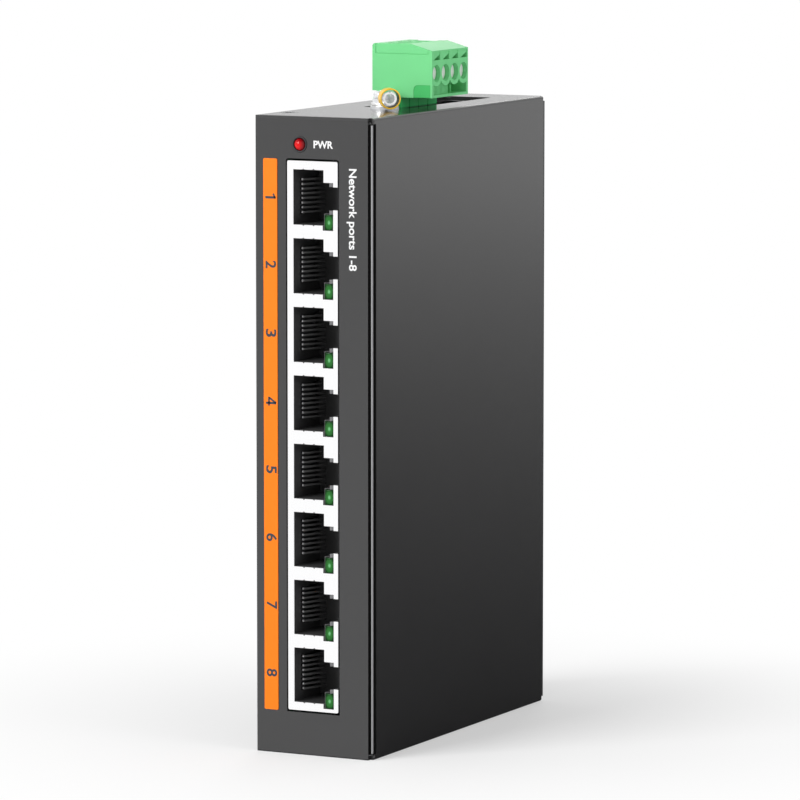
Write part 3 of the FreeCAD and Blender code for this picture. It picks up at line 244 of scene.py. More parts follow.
def finish(name, colour, rough, metal=0.0, tone=0.06, gloss=0.08, drift=120.0, grain=2500.0,
           bump=0.00001, stretch=(1.0, 1.0, 1.0), coat=0.0, ior=1.5, shine=0.5):
    """A material whose colour, gloss and relief come from the shared group."""
    material = bpy.data.materials.new(name)
    material.use_nodes = True
    made = material.node_tree.nodes
    link = material.node_tree.links.new
    shader = made["Principled BSDF"].inputs
    group = made.new("ShaderNodeGroup")
    group.name = "uneven"
    group.node_tree = UNEVEN
    values = ((*colour, 1.0), rough, tone, gloss, drift, grain, stretch)
    for socket, value in zip(GROUP_INPUTS, values):
        group.inputs[socket].default_value = value
    relief = made.new("ShaderNodeBump")
    relief.inputs["Strength"].default_value = 1.0
    relief.inputs["Distance"].default_value = bump
    link(group.outputs["Colour"], shader["Base Color"])
    link(group.outputs["Roughness"], shader["Roughness"])
    link(group.outputs["Grain"], relief.inputs["Height"])
    link(relief.outputs["Normal"], shader["Normal"])
    for socket, value in (("Metallic", metal), ("IOR", ior), ("Specular IOR Level", shine),
                          ("Coat Weight", coat), ("Coat Roughness", 0.05)):
        shader[socket].default_value = value
    return material


print("finish maker ready")

# %% Mix the paints and plastics
PAINT_DARK = (0.0275, 0.0275, 0.0282)
PAINT_ROUGH = 0.13
HEADER_GREEN = (0.054, 0.74, 0.2)
COAT = finish("powder coat", PAINT_DARK, PAINT_ROUGH, tone=0.1, gloss=0.03, drift=60.0, grain=5200.0,
              bump=0.0000006, ior=1.6)
BLACK = finish("black moulding", (0.056, 0.056, 0.057), 0.42, tone=0.15, drift=260.0, bump=0.000003)
ORANGE = finish("orange film", paint(249, 124, 20), 0.5, tone=0.04, drift=90.0, grain=6000.0,
                bump=0.000001, shine=0.18)
INK = finish("dark ink", paint(34, 46, 58), 0.55, tone=0.1, drift=900.0, bump=0.000001)
WHITE = finish("white ink", (0.76, 0.76, 0.76), 0.5, tone=0.05, drift=900.0, bump=0.000001)
GREEN = finish("green terminal plastic", (0.183, 0.66, 0.266), 0.52, tone=0.06, drift=180.0,
               grain=3500.0, bump=0.000002, shine=0.12)
# Painted shade: the darker green stands for the shade in the plug's end recesses.
RECESS_PAINTED_SHADE_GREEN = finish("green plastic in painted recess shade", (0.055, 0.5, 0.13), 0.5, tone=0.08, drift=200.0,
                   grain=3500.0, bump=0.000002, shine=0.3)
DEEP_GREEN = finish("green header plastic", HEADER_GREEN, 0.5, tone=0.1, drift=240.0, grain=3500.0,
                    bump=0.000002, shine=0.25)
BOARD = finish("solder mask", (0.012, 0.09, 0.035), 0.3, tone=0.25, drift=200.0, coat=0.4)
CHIP = finish("moulded epoxy", (0.016, 0.016, 0.018), 0.6, tone=0.2, drift=400.0)
NYLON = finish("filled nylon", (0.03, 0.03, 0.032), 0.48, tone=0.2, drift=220.0, grain=2400.0,
               bump=0.000005)
# Painted shade: near black for the strip at the floor of the seams.
SHADE = finish("painted seam shade", (0.004, 0.004, 0.004), 0.9, tone=0.3, drift=300.0, shine=0.05)
print(len(bpy.data.materials), "finishes so far")

# %% Plate the metals
NICKEL = finish("bright nickel", (0.985, 0.985, 0.99), 0.2, metal=1.0, tone=0.02, gloss=0.06,
                drift=90.0, grain=3000.0, bump=0.0000006, stretch=(1.0, 1.0, 0.1))
TIN = finish("bright tin", (0.97, 0.97, 0.96), 0.24, metal=0.9, tone=0.04, drift=500.0)
ZINC = finish("bright zinc", (0.86, 0.87, 0.89), 0.22, metal=0.6, tone=0.12, gloss=0.12, drift=420.0)
DULL_ZINC = finish("dull zinc", (0.88, 0.86, 0.87), 0.5, metal=0.25, tone=0.15, drift=500.0)
# Painted shade: the shield's nickel darkened to grey for the earthing tabs.
PLATE_IN_PAINTED_SHADE = finish("plate in the shade", (0.2, 0.2, 0.205), 0.5, metal=0.3, tone=0.15, drift=400.0)
ALLOY = finish("satin aluminium", (0.72, 0.73, 0.75), 0.34, metal=1.0, tone=0.06, drift=200.0,
               grain=2600.0, bump=0.000002, stretch=(0.05, 1.0, 1.0))
BLACK_STEEL = finish("blackened steel", (0.03, 0.03, 0.032), 0.45, metal=0.2, tone=0.2, drift=500.0,
                     shine=0.25)
# Painted highlight: the fold bar's pale grey stands for light on the bend.
FOLD_PAINTED_HIGHLIGHT = finish("fold with painted highlight", (0.33, 0.33, 0.34), 0.5, metal=0.15, tone=0.06, drift=80.0,
                    bump=0.000001)
print(len(bpy.data.materials), "finishes")

# %% [markdown]
# ## Modelling helpers
# The pieces are shaped as by hand: a box or a cylinder is added at its place, edges and faces are
# picked by where they lie, and the edit tools do the rest. These few helpers keep that readable.

# %% Write the shaping helpers


def only(piece):
    """Leave one object selected and active."""
    bpy.ops.object.select_all(action="DESELECT")
    piece.select_set(True)
    bpy.context.view_layer.objects.active = piece


def placed(name):
    """The piece just added, named, with its place and turn put into its mesh."""
    piece = bpy.context.active_object
    piece.name = name
    piece.data.name = name
    bpy.ops.object.transform_apply(location=True, rotation=True, scale=True)
    return piece


def box_piece(name, low, high):
    """A box between two corners."""
    bpy.ops.object.select_all(action="DESELECT")
    bpy.ops.mesh.primitive_cube_add(size=1.0, location=(low + high) / 2, scale=high - low)
    return placed(name)


TURNS = {"X": (0.0, math.pi / 2, 0.0), "Y": (math.pi / 2, 0.0, 0.0), "Z": (0.0, 0.0, 0.0)}


def rod_piece(name, centre, radius, length, axis, sides=48):
    """A cylinder about its centre, along one axis."""
    bpy.ops.object.select_all(action="DESELECT")
    bpy.ops.mesh.primitive_cylinder_add(vertices=sides, radius=radius, depth=length, location=centre,
                                        rotation=TURNS[axis])
    return placed(name)


def pick(piece, edges=None, faces=None):
    """In edit mode, select the edges or faces whose middle passes a test."""
    mesh = bmesh.from_edit_mesh(piece.data)
    bpy.ops.mesh.select_all(action="DESELECT")
    if edges:
        bpy.ops.mesh.select_mode(type="EDGE")
        for edge in mesh.edges:
            ends = [corner.co for corner in edge.verts]
            edge.select_set(bool(edges(ends[0], ends[1])))
    if faces:
        bpy.ops.mesh.select_mode(type="FACE")
        for face in mesh.faces:
            face.select_set(bool(faces(face.calc_center_median(), face.normal)))
    bmesh.update_edit_mesh(piece.data)


def start_edit(piece):
    """Open one object in edit mode with all of it selected."""
    only(piece)
    bpy.ops.object.mode_set(mode="EDIT")
    bpy.ops.mesh.select_all(action="SELECT")


def end_edit():
    bpy.ops.object.mode_set(mode="OBJECT")


def near(value, target):
    return abs(value - target) < 1e-6


def runs_along(first, second, axis):
    """True where an edge runs along an axis, numbered 0 to 2."""
    run = second - first
    return abs(run[axis]) > 0.999 * run.length


def round_edges(piece, width, segments, edges):
    """Round the edges that pass a test, by a width in millimetres."""
    start_edit(piece)
    pick(piece, edges=edges)
    bpy.ops.mesh.bevel(offset=width * MM, segments=segments, affect="EDGES")
    end_edit()


def apply(piece, modifier):
    """Make a modifier's result the piece's own mesh."""
    only(piece)
    bpy.ops.object.modifier_apply(modifier=modifier.name)


def soften(piece, width, segments=2, angle=30.0):
    """Round every sharp edge a little, shade smooth, and keep the large faces flat."""
    bevel = piece.modifiers.new("soft edges", "BEVEL")
    bevel.width = width
    bevel.segments = segments
    bevel.limit_method = "ANGLE"
    bevel.angle_limit = math.radians(angle)
    apply(piece, bevel)
    bpy.ops.object.shade_smooth_by_angle(angle=math.radians(40))
    flatten = piece.modifiers.new("flat faces", "WEIGHTED_NORMAL")
    flatten.keep_sharp = True
    apply(piece, flatten)


def merge(pieces, name=None):
    """Join several objects into the first, and name it if a name is given."""
    bpy.ops.object.select_all(action="DESELECT")
    for piece in pieces:
        piece.select_set(True)
    bpy.context.view_layer.objects.active = pieces[0]
    if len(pieces) > 1:
        bpy.ops.object.join()
    if name:
        pieces[0].name = name
    return pieces[0]


def boolean(piece, others, operation):
    """Cut away or add other closed pieces, which are used up."""
    tool = merge(others)
    change = piece.modifiers.new("shape", "BOOLEAN")
    change.operation = operation
    change.solver = "EXACT"
    change.use_self = True
    change.object = tool
    apply(piece, change)
    bpy.data.objects.remove(tool)
    return piece


def cut_away(piece, others):
    return boolean(piece, others, "DIFFERENCE")


def copy_piece(piece, name, shift):
    """A copy with its own mesh, moved within the mesh."""
    twin = piece.copy()
    twin.data = piece.data.copy()
    twin.name = name
    twin.data.name = name
    scene.collection.objects.link(twin)
    twin.data.transform(Matrix.Translation(shift))
    return twin


def dress(piece, material, node=None, body="case"):
    """Give a finished piece its finish, its body and the solid that it stands for."""
    piece.data.materials.clear()
    piece.data.materials.append(material)
    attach(piece, body)
    if node:
        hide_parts(node)
    return piece


print("helpers ready")

# %% [markdown]
# ## Floor and light
# The picture has a plain white ground. A wide floor is white to the camera and keeps the part's soft
# shadow close to it. In reflections the floor on the right starts dark, as a black card on the table
# would make it: it gives the long side its slow fall from grey at the top to black at the bottom.

# %% Lay the floor
CARD_RISE = (0.034, 0.116)
CARD_FULL = 0.214
CARD_CURVE = 1.25
CARD_BLACK = 0.004
SHADOW_KEPT = 0.35
SHADOW_REACH = (0.03, 0.15)


def floor_material():
    """White to the camera, a card in reflections, and a pale surface for all other light."""
    material = bpy.data.materials.new("studio floor")
    material.use_nodes = True
    tree = material.node_tree
    made = tree.nodes
    link = tree.links.new
    made.clear()

    def mix(share, first, second):
        blend = made.new("ShaderNodeMixShader")
        for number, source in enumerate((share, first, second)):
            link(source, blend.inputs[number])
        return blend.outputs[0]

    away = on_vectors(tree, "LENGTH", place_of(tree))
    fade = follow(tree, away, *SHADOW_REACH, low=SHADOW_KEPT, shape="SMOOTHSTEP")
    parts = split(tree, place_of(tree))
    aside = arithmetic(tree, "SUBTRACT", parts["X"], case_high.x)
    behind = arithmetic(tree, "SUBTRACT", parts["Y"], case_low.y)
    rise = arithmetic(tree, "ADD", arithmetic(tree, "MULTIPLY", aside, CARD_RISE[0]),
                      arithmetic(tree, "MULTIPLY", behind, CARD_RISE[1]))
    share = arithmetic(tree, "DIVIDE", rise, CARD_FULL)
    kept = arithmetic(tree, "MAXIMUM", arithmetic(tree, "MINIMUM", share, 1.0), 0.0)
    card = arithmetic(tree, "ADD", arithmetic(tree, "POWER", kept, CARD_CURVE), CARD_BLACK)
    left = arithmetic(tree, "LESS_THAN", parts["X"], case_low.x)
    front = arithmetic(tree, "LESS_THAN", parts["Y"], case_low.y - 0.001)
    level = arithmetic(tree, "MAXIMUM", card, arithmetic(tree, "MAXIMUM", left, front))
    tone = made.new("ShaderNodeCombineColor")
    for channel in ("Red", "Green", "Blue"):
        link(level, tone.inputs[channel])
    lit = made.new("ShaderNodeBsdfDiffuse")
    lit.inputs["Color"].default_value = (0.92, 0.92, 0.92, 1.0)
    white = made.new("ShaderNodeEmission")
    mirrored = made.new("ShaderNodeEmission")
    link(tone.outputs[0], mirrored.inputs["Color"])
    path = made.new("ShaderNodeLightPath").outputs
    ground = mix(fade, lit.outputs[0], white.outputs[0])
    seen = mix(path["Is Camera Ray"], lit.outputs[0], ground)
    shiny = arithmetic(tree, "MAXIMUM", path["Is Glossy Ray"], path["Is Transmission Ray"])
    leave = made.new("ShaderNodeOutputMaterial")
    link(mix(shiny, seen, mirrored.outputs[0]), leave.inputs["Surface"])
    return material


bpy.ops.object.select_all(action="DESELECT")
bpy.ops.mesh.primitive_plane_add(size=16.0, location=(0.0, 0.0, 0.0))
floor = bpy.context.active_object
floor.name = "floor"
floor.data.materials.append(floor_material())
print("floor laid")

# %% [markdown]
# ## Surroundings and lamps
# The studio is a pale room with a big soft lamp in front on the left, two weaker ones behind and a
# fill on the right. The room is bright in reflections, darker overhead and a little darker near the
# horizon; for all other light it is weaker, so that a colour renders about as it is written.

# %% Paint the room
SKY = 0.52
CEILING_SHINE = 0.15
HORIZON_SHINE = 0.74


def light_world():
    """A world that is white to the camera, graded in reflections and weaker as light."""
    world = bpy.data.worlds.new("studio")
    scene.world = world
    world.use_nodes = True
    tree = world.node_tree
    shine = tree.nodes["Background"]
    shine.inputs["Color"].default_value = (1.0, 1.0, 1.0, 1.0)
    path = tree.nodes.new("ShaderNodeLightPath").outputs
    seen = arithmetic(tree, "MAXIMUM", path["Is Camera Ray"], path["Is Glossy Ray"])
    seen = arithmetic(tree, "MAXIMUM", seen, path["Is Transmission Ray"])
    upward = split(tree, tree.nodes.new("ShaderNodeTexCoord").outputs["Generated"])["Z"]
    ceiling = follow(tree, upward, 0.62, 0.86, low=1.0, high=CEILING_SHINE, shape="SMOOTHSTEP")
    horizon = follow(tree, upward, 0.1, 0.28, low=HORIZON_SHINE, high=1.0, shape="SMOOTHSTEP")
    mirrored = arithmetic(tree, "MULTIPLY", seen, arithmetic(tree, "MULTIPLY", ceiling, horizon))
    level = arithmetic(tree, "MAXIMUM", mirrored, path["Is Camera Ray"])
    unseen = arithmetic(tree, "MULTIPLY", arithmetic(tree, "SUBTRACT", 1.0, seen), SKY)
    tree.links.new(arithmetic(tree, "ADD", level, unseen), shine.inputs["Strength"])


light_world()
print("room strength as light:", SKY)

# %% Hang the lamps


def soft_box(name, place, target, size, power):
    """A square lamp that faces a point of the object."""
    data = bpy.data.lights.new(name, "AREA")
    data.shape = "SQUARE"
    data.size = size
    data.energy = power
    lamp = bpy.data.objects.new(name, data)
    scene.collection.objects.link(lamp)
    lamp.location = place
    lamp.rotation_mode = "QUATERNION"
    lamp.rotation_quaternion = (Vector(target) - Vector(place)).to_track_quat("-Z", "Y")
    lamp.visible_camera = False
    return lamp


soft_box("key", (-0.7, -1.4, 0.9), (0.0, 0.0, 0.08), 0.9, 23.0)
soft_box("high back", (0.26, 1.95, 1.12), (0.0, 0.0, 0.12), 1.0, 2.4)
soft_box("left back", (-0.64, 1.75, 0.92), (0.0, 0.0, 0.12), 0.6, 6.5)
fill = soft_box("right fill", (1.3, -0.2, 0.55), (0.0, 0.0, 0.12), 0.6, 3.2)
fill.visible_glossy = False

# %% [markdown]
# ## Kept solids
# Folded sheet, flat boards and hidden parts already have their true shape in the solids, so they
# only need their finishes. Each name below is a solid, and its finish goes in its material slot.

# %% Finish the kept solids
KEPT = {
    "left_cover": COAT,
    "cover_screws": BLACK_STEEL,
    "jack_housing": BLACK,
    "number_strip": ORANGE,
    "power_light_holder": BLACK,
    "circuit_board": BOARD,
    "board_standoffs": ZINC,
    "board_screws": ZINC,
    "switch_chip": CHIP,
    "heat_sink": ALLOY,
    "memory_chip": CHIP,
    "clock_crystal": TIN,
    "power_inductor": CHIP,
    "capacitor_1": ALLOY,
    "capacitor_2": ALLOY,
    "terminal_header": DEEP_GREEN,
    "header_pins": TIN,
    "clamp_cages": ZINC,
    "earth_flat_washer": ZINC,
    "earth_spring_washer": ZINC,
    "earth_nut": ZINC,
    "bracket_screws": ZINC,
    "bracket_nuts": ZINC,
    "latch_spring": ZINC,
}
for number in range(1, 5):
    KEPT[f"transformer_{number}"] = CHIP
for name, material in KEPT.items():
    mesh = nodes[name].data
    mesh.materials.clear()
    mesh.materials.append(material)
print(len(KEPT), "solids finished")

# %% [markdown]
# ## Header in its opening
# The header stands in the opening in the top plate, and the part below the plate gets hardly any
# light. Its green is painted darker there, down to nearly black: this is painted shade.

# %% Fade the header below the plate


def fade_below(material, height, dark, light):
    """One colour above a height and a darker one below it."""
    tree = material.node_tree
    raised = split(tree, place_of(tree))["Z"]
    share = follow(tree, raised, height - 0.3 * MM, height + 0.15 * MM)
    colour_along(material, share, [(0.0, dark), (1.0, light)])


# Painted shade: the header's green darkens to nearly black below the top plate.
fade_below(DEEP_GREEN, case_high.z, (0.004, 0.02, 0.008), HEADER_GREEN)
print("header faded below", round(case_high.z / MM, 1), "mm")

# %% [markdown]
# ## Folded case
# The case is one sheet folded four times, so its shape is already right. A copy of the solid is
# merged into one surface and gets what paint and a press leave behind: two narrow seams beside the
# bright front fold, and edges that are never knife sharp.

# %% Copy a solid and merge its loose triangles


def merged_copy(node, name):
    """A copy of a solid's mesh as one clean surface."""
    source = nodes[node]
    twin = bpy.data.objects.new(name, source.data.copy())
    twin.data.name = name
    scene.collection.objects.link(twin)
    start_edit(twin)
    bpy.ops.mesh.remove_doubles(threshold=0.000002)
    bpy.ops.mesh.dissolve_limited(angle_limit=math.radians(0.5))
    end_edit()
    return twin


case_piece = merged_copy("housing_shell", "folded_case")
print("faces of the merged case:", len(case_piece.data.polygons))

# %% Cut the seams and soften the case
CASE_WIDE = case_size.x
FOLD_END = 1.25
SEAM_LOW, SEAM_HIGH = FOLD_END, case_size.z - FOLD_END
SHIELD_LOW, SHIELD_HIGH = reach("port_shield")
seams = [
    box_piece("shield gap", at(SHIELD_LOW.x - 0.28, -1.0, SHIELD_LOW.z - 0.45),
              at(SHIELD_HIGH.x + 0.35, 0.92, SHIELD_HIGH.z + 0.12)),
    box_piece("front seam", at(CASE_WIDE - 1.08, -1.0, SEAM_LOW), at(CASE_WIDE + 1.0, 0.9, SEAM_HIGH)),
    box_piece("side seam", at(CASE_WIDE - 0.86, -1.0, SEAM_LOW), at(CASE_WIDE + 1.0, 1.85, SEAM_HIGH)),
]
cut_away(case_piece, seams)
soften(case_piece, 0.12 * MM, angle=50)
dress(case_piece, COAT, "housing_shell")
print("case faces:", len(case_piece.data.polygons))

# %% [markdown]
# ## Rubbed and bare places
# Folds get rubbed, so the paint is duller there, and the spray gun doesn't reach inside the case,
# where the zinc stays bare. Both depend only on the place on the case. Masks from the object's
# coordinates therefore feed the one coat's gloss and colour, and no second mesh is needed.

# %% Rub the folds and bare the inside
SHEET_STEEL = 0.95
RUBBED_MORE = 0.62
TOP_RIGHT_SHARE = 0.45


def rub_folds(material):
    """Less gloss on the right rear fold and the top front fold, and half as much on the top right."""
    tree = material.node_tree
    parts = split(tree, place_of(tree))
    back = follow(tree, parts["Y"], case_high.y - 1.1 * MM, case_high.y - 0.5 * MM)
    beside = arithmetic(tree, "GREATER_THAN", parts["X"], case_high.x - 0.6 * MM)
    raised = arithmetic(tree, "GREATER_THAN", parts["Z"], case_high.z - 0.6 * MM)
    ahead = arithmetic(tree, "LESS_THAN", parts["Y"], case_low.y + 0.3 * MM)
    rubbed = arithmetic(tree, "MAXIMUM", arithmetic(tree, "MULTIPLY", back, beside),
                        arithmetic(tree, "MULTIPLY", raised, ahead))
    highest = arithmetic(tree, "GREATER_THAN", parts["Z"], case_high.z - 0.46 * MM)
    rightmost = arithmetic(tree, "GREATER_THAN", parts["X"], case_high.x - 0.46 * MM)
    top_right = arithmetic(tree, "MULTIPLY", arithmetic(tree, "MULTIPLY", highest, rightmost),
                           TOP_RIGHT_SHARE)
    rubbed = arithmetic(tree, "MAXIMUM", rubbed, top_right)
    rough = arithmetic(tree, "ADD", arithmetic(tree, "MULTIPLY", rubbed, RUBBED_MORE), PAINT_ROUGH)
    tree.links.new(rough, tree.nodes["uneven"].inputs["Gloss"])


def bare_inside(material):
    """Paint outside, and bare zinc where the gun doesn't reach, inside the case."""
    tree = material.node_tree
    parts = split(tree, place_of(tree))
    inner = 1.0
    for name, lowest, highest in zip("XYZ", case_low, case_high):
        above = arithmetic(tree, "GREATER_THAN", parts[name], lowest + SHEET_STEEL * MM)
        below = arithmetic(tree, "LESS_THAN", parts[name], highest - SHEET_STEEL * MM)
        inner = arithmetic(tree, "MULTIPLY", inner, arithmetic(tree, "MULTIPLY", above, below))
    colour_along(material, inner, [(0.0, PAINT_DARK), (1.0, (0.5, 0.5, 0.51))])


rub_folds(COAT)
bare_inside(COAT)
print("nodes in the coat:", len(COAT.node_tree.nodes))

# %% [markdown]
# ## Bright fold
# Between the two seams the folded edge of the sheet shows as a bright line with black on both sides.
# A slim bar with one well rounded edge stands for it; its pale grey is a painted highlight. A dark
# strip behind closes the joint and is painted shade: the seams look black, and nothing inside the case
# shows through them.

# %% Set the bright fold between the seams
fold = box_piece("bright_fold", at(CASE_WIDE - 0.3, 0.02, SEAM_LOW + 0.25),
                 at(CASE_WIDE - 0.06, 0.5, SEAM_HIGH - 0.25))
round_edges(fold, 0.2, 6, lambda a, b: runs_along(a, b, 2) and a.x > at(CASE_WIDE - 0.2, 0, 0).x
            and a.y < at(0, 0.3, 0).y)
round_edges(fold, 0.08, 3, lambda a, b: not runs_along(a, b, 2) and a.x > at(CASE_WIDE - 0.25, 0, 0).x)
bpy.ops.object.shade_smooth_by_angle(angle=math.radians(40))
# Painted highlight on the fold bar.
dress(fold, FOLD_PAINTED_HIGHLIGHT)
# Painted shade: a near-black strip at the floor of the seams.
joint = merge([
    box_piece("painted_seam_shade", at(CASE_WIDE - 1.06, 0.4, SEAM_LOW), at(CASE_WIDE - 0.31, 0.88, SEAM_HIGH)),
    box_piece("joint", at(CASE_WIDE - 0.84, 0.6, SEAM_LOW), at(CASE_WIDE - 0.2, 1.84, SEAM_HIGH)),
])
soften(joint, 0.03 * MM, segments=1)
dress(joint, SHADE)
print("fold faces:", len(fold.data.polygons))

# %% [markdown]
# ## Bright shield
# The row of sockets wears one stamped shield of thin plated sheet. It is a box without its back and
# left side, given the sheet's thickness, and then stamped with one stepped window for each socket.
# The window is made once, as joined blocks, and copied up the row.

# %% Fold the shield
PORT_PITCH = 15.0
LOWEST_PORT = 17.69
PORT_COUNT = 8
SHEET = 0.3
shield = box_piece("bright_shield", at(*SHIELD_LOW), at(*SHIELD_HIGH))
round_edges(shield, 0.35, 4, lambda a, b: runs_along(a, b, 1))
start_edit(shield)
pick(shield, faces=lambda middle, normal: normal.y > 0.9 or normal.x < -0.9)
bpy.ops.mesh.delete(type="FACE")
end_edit()
thicken = shield.modifiers.new("sheet", "SOLIDIFY")
thicken.thickness = SHEET * MM
thicken.offset = -1.0
apply(shield, thicken)
print("shield spans", [round(v, 2) for v in SHIELD_LOW], [round(v, 2) for v in SHIELD_HIGH])

# %% Stamp the windows
SOCKET_LEFT = 9.26
SOCKET_RIGHT = 16.64
STEP_RIGHT = 18.99
SOCKET_LOW, SOCKET_HIGH = -6.06, 5.98


def port_window(z):
    """Blocks that together have the outline of one socket and its light."""
    blocks = [
        (SOCKET_LEFT, SOCKET_RIGHT, 1.0, SOCKET_LOW, SOCKET_HIGH),
        (SOCKET_RIGHT - 0.2, STEP_RIGHT, 1.0, -3.7, 3.28),
        (SOCKET_RIGHT - 0.2, STEP_RIGHT, 1.0, -7.12, -3.5),
        (STEP_RIGHT - 0.2, 21.0, 4.0, -2.62, 2.36),
    ]
    made = []
    for left, right, deep, low, high in blocks:
        made.append(box_piece("window", at(left, -1.0, z + low), at(right, deep, z + high)))
    for x in (11.7, 14.2):
        for edge in (SOCKET_LOW, SOCKET_HIGH):
            made.append(rod_piece("nick", at(x, 0.0, z + edge), 0.2 * MM, 2.0 * MM, "Y", 16))
    return made


port_heights = [LOWEST_PORT + PORT_PITCH * number for number in range(PORT_COUNT)]
stamps = []
for z in port_heights:
    stamps += port_window(z)
cut_away(shield, stamps)
soften(shield, 0.05 * MM, segments=1, angle=50)
dress(shield, NICKEL, "port_shield")
print("shield faces:", len(shield.data.polygons))

# %% [markdown]
# ## Earthing tabs
# Two small tongues of the shield stand in each socket's latch side and touch the plug that goes in.
# Each is a thin block turned about its root. That is quicker than bending it out of the sheet, and
# its root is hidden behind the window's edge.

# %% Bend the earthing tabs
TAB_TURN = math.radians(-35)
TAB_ROOT = 18.95
tabs = []
for z in port_heights:
    for low, high in ((2.4, 3.25), (-3.6, -2.7)):
        tab = box_piece("tab", at(17.9, 0.45, z + low), at(TAB_ROOT, 0.7, z + high))
        start_edit(tab)
        bpy.ops.transform.rotate(value=TAB_TURN, orient_axis="Z", orient_type="GLOBAL",
                                 center_override=at(TAB_ROOT, 0.6, z))
        end_edit()
        tabs.append(tab)
earthing_tabs = merge(tabs, "earthing_tabs")
soften(earthing_tabs, 0.06 * MM)
# Painted shade on the tabs' plating.
dress(earthing_tabs, PLATE_IN_PAINTED_SHADE)
print("tabs:", len(tabs))

# %% [markdown]
# ## Contact springs
# Each socket has eight bent springs. One is drawn as a ribbon: an edge is pulled from point to point
# along the bend, the ribbon gets the strip's thickness, and seven copies stand beside it. Their
# rounded noses show as a row of small bright dots: that highlight is painted into the plating's
# colour, and so is the shade along the strips.

# %% Bend one spring
SPRING_WIDE = 0.44
SPRING_PITCH = 1.02
SPRING_COUNT = 8
SPRING_ROUTE = [(8.78, 5.4), (9.05, 4.4), (9.4, 3.75), (9.62, 3.42), (9.85, 3.38), (10.08, 3.68),
                (11.2, 6.1), (12.3, 8.5), (12.42, 8.9)]


def bent_spring(z):
    """One spring at a height, pulled along the route as a ribbon and then thickened."""
    first_x, first_y = SPRING_ROUTE[0]
    ribbon = box_piece("spring", at(first_x, first_y, z - SPRING_WIDE / 2),
                       at(first_x + 0.1, first_y + 0.1, z + SPRING_WIDE / 2))
    start_edit(ribbon)
    pick(ribbon, faces=lambda middle, normal: not (normal.x < -0.9))
    bpy.ops.mesh.delete(type="FACE")
    front_y = at(0, first_y, 0).y
    pick(ribbon, edges=lambda a, b: runs_along(a, b, 2) and near(a.y, front_y))
    for (last_x, last_y), (next_x, next_y) in zip(SPRING_ROUTE, SPRING_ROUTE[1:]):
        step = Vector((next_x - last_x, next_y - last_y, 0.0)) * MM
        bpy.ops.mesh.extrude_region_move(TRANSFORM_OT_translate={"value": step})
    end_edit()
    strip = ribbon.modifiers.new("strip", "SOLIDIFY")
    strip.thickness = 0.24 * MM
    strip.offset = 0.0
    strip.use_even_offset = True
    apply(ribbon, strip)
    soften(ribbon, 0.06 * MM, angle=60)
    return ribbon


first_spring = bent_spring(LOWEST_PORT)
print("faces of one spring:", len(first_spring.data.polygons))

# %% Plate the springs


def spring_material():
    """Plating with a painted highlight on the noses and painted shade along the strips."""
    material = finish("plated spring with painted light", (0.1, 0.1, 0.098), 0.4, metal=0.3, drift=700.0)
    tree = material.node_tree
    share = follow(tree, split(tree, place_of(tree))["X"], at(9.3, 0, 0).x, at(12.3, 0, 0).x)
    # Painted highlight on the noses and painted shade along the strips.
    painted_light_greys = ((0.02, 0.12), (0.08, 0.95), (0.15, 0.95), (0.21, 0.17), (1.0, 0.06))
    colour_along(material, share, [(along, (grey, grey, grey)) for along, grey in painted_light_greys])
    return material


SPRING = spring_material()
print("finish:", SPRING.name)

# %% Set the springs in the sockets
row = [first_spring]
for number in range(1, SPRING_COUNT):
    row.append(copy_piece(first_spring, "spring", Vector((0.0, 0.0, number * SPRING_PITCH * MM))))
springs = merge(row)
middle_spring = (SPRING_COUNT - 1) / 2
springs.data.transform(Matrix.Translation(Vector((0.0, 0.0, -middle_spring * SPRING_PITCH * MM))))
for number in range(PORT_COUNT):
    shift = Vector((0.0, 0.0, (PORT_COUNT - 1 - number) * PORT_PITCH * MM))
    piece = copy_piece(springs, f"springs_{number + 1}", shift)
    dress(piece, SPRING, f"contacts_{number + 1}")
bpy.data.objects.remove(springs)
print("spring sets:", PORT_COUNT)

# %% [markdown]
# ## Socket lights
# A tinted light pipe fills the window beside each socket. Its front is a small lens: a bevelled frame
# round a slightly sunk face. Its colour carries a painted highlight, a pale spot in the middle, and
# darkens towards the frame.

# %% Tint the light pipes


def lens_material():
    """Tinted plastic with a painted highlight, a pale spot in the middle of each window, repeated at the
    ports' pitch.
    """
    material = finish("tinted lens", (0.022, 0.2, 0.032), 0.25, tone=0.1, drift=400.0, shine=0.15)
    tree = material.node_tree
    parts = split(tree, place_of(tree))
    pitch = PORT_PITCH * MM
    lamp_z = at(0, 0, LOWEST_PORT - 5.38).z
    across = arithmetic(tree, "SUBTRACT", parts["X"], at(17.88, 0, 0).x)
    raised = arithmetic(tree, "SUBTRACT", parts["Z"], lamp_z - pitch / 2)
    upward = arithmetic(tree, "SUBTRACT", arithmetic(tree, "MODULO", raised, pitch), pitch / 2)
    flattened = arithmetic(tree, "MULTIPLY", arithmetic(tree, "MULTIPLY", upward, upward), 0.45)
    spread = arithmetic(tree, "ADD", arithmetic(tree, "MULTIPLY", across, across), flattened)
    share = arithmetic(tree, "DIVIDE", arithmetic(tree, "SQRT", spread), 1.6 * MM)
    # Painted highlight: a pale spot in the middle; the colour then darkens towards the frame.
    colour_along(material, share, [(0.1, (0.14, 0.42, 0.17)), (0.24, (0.024, 0.155, 0.027)),
                                   (0.52, (0.018, 0.12, 0.021)), (0.72, (0.004, 0.035, 0.006))])
    return material


LENS = lens_material()
print("finish:", LENS.name)

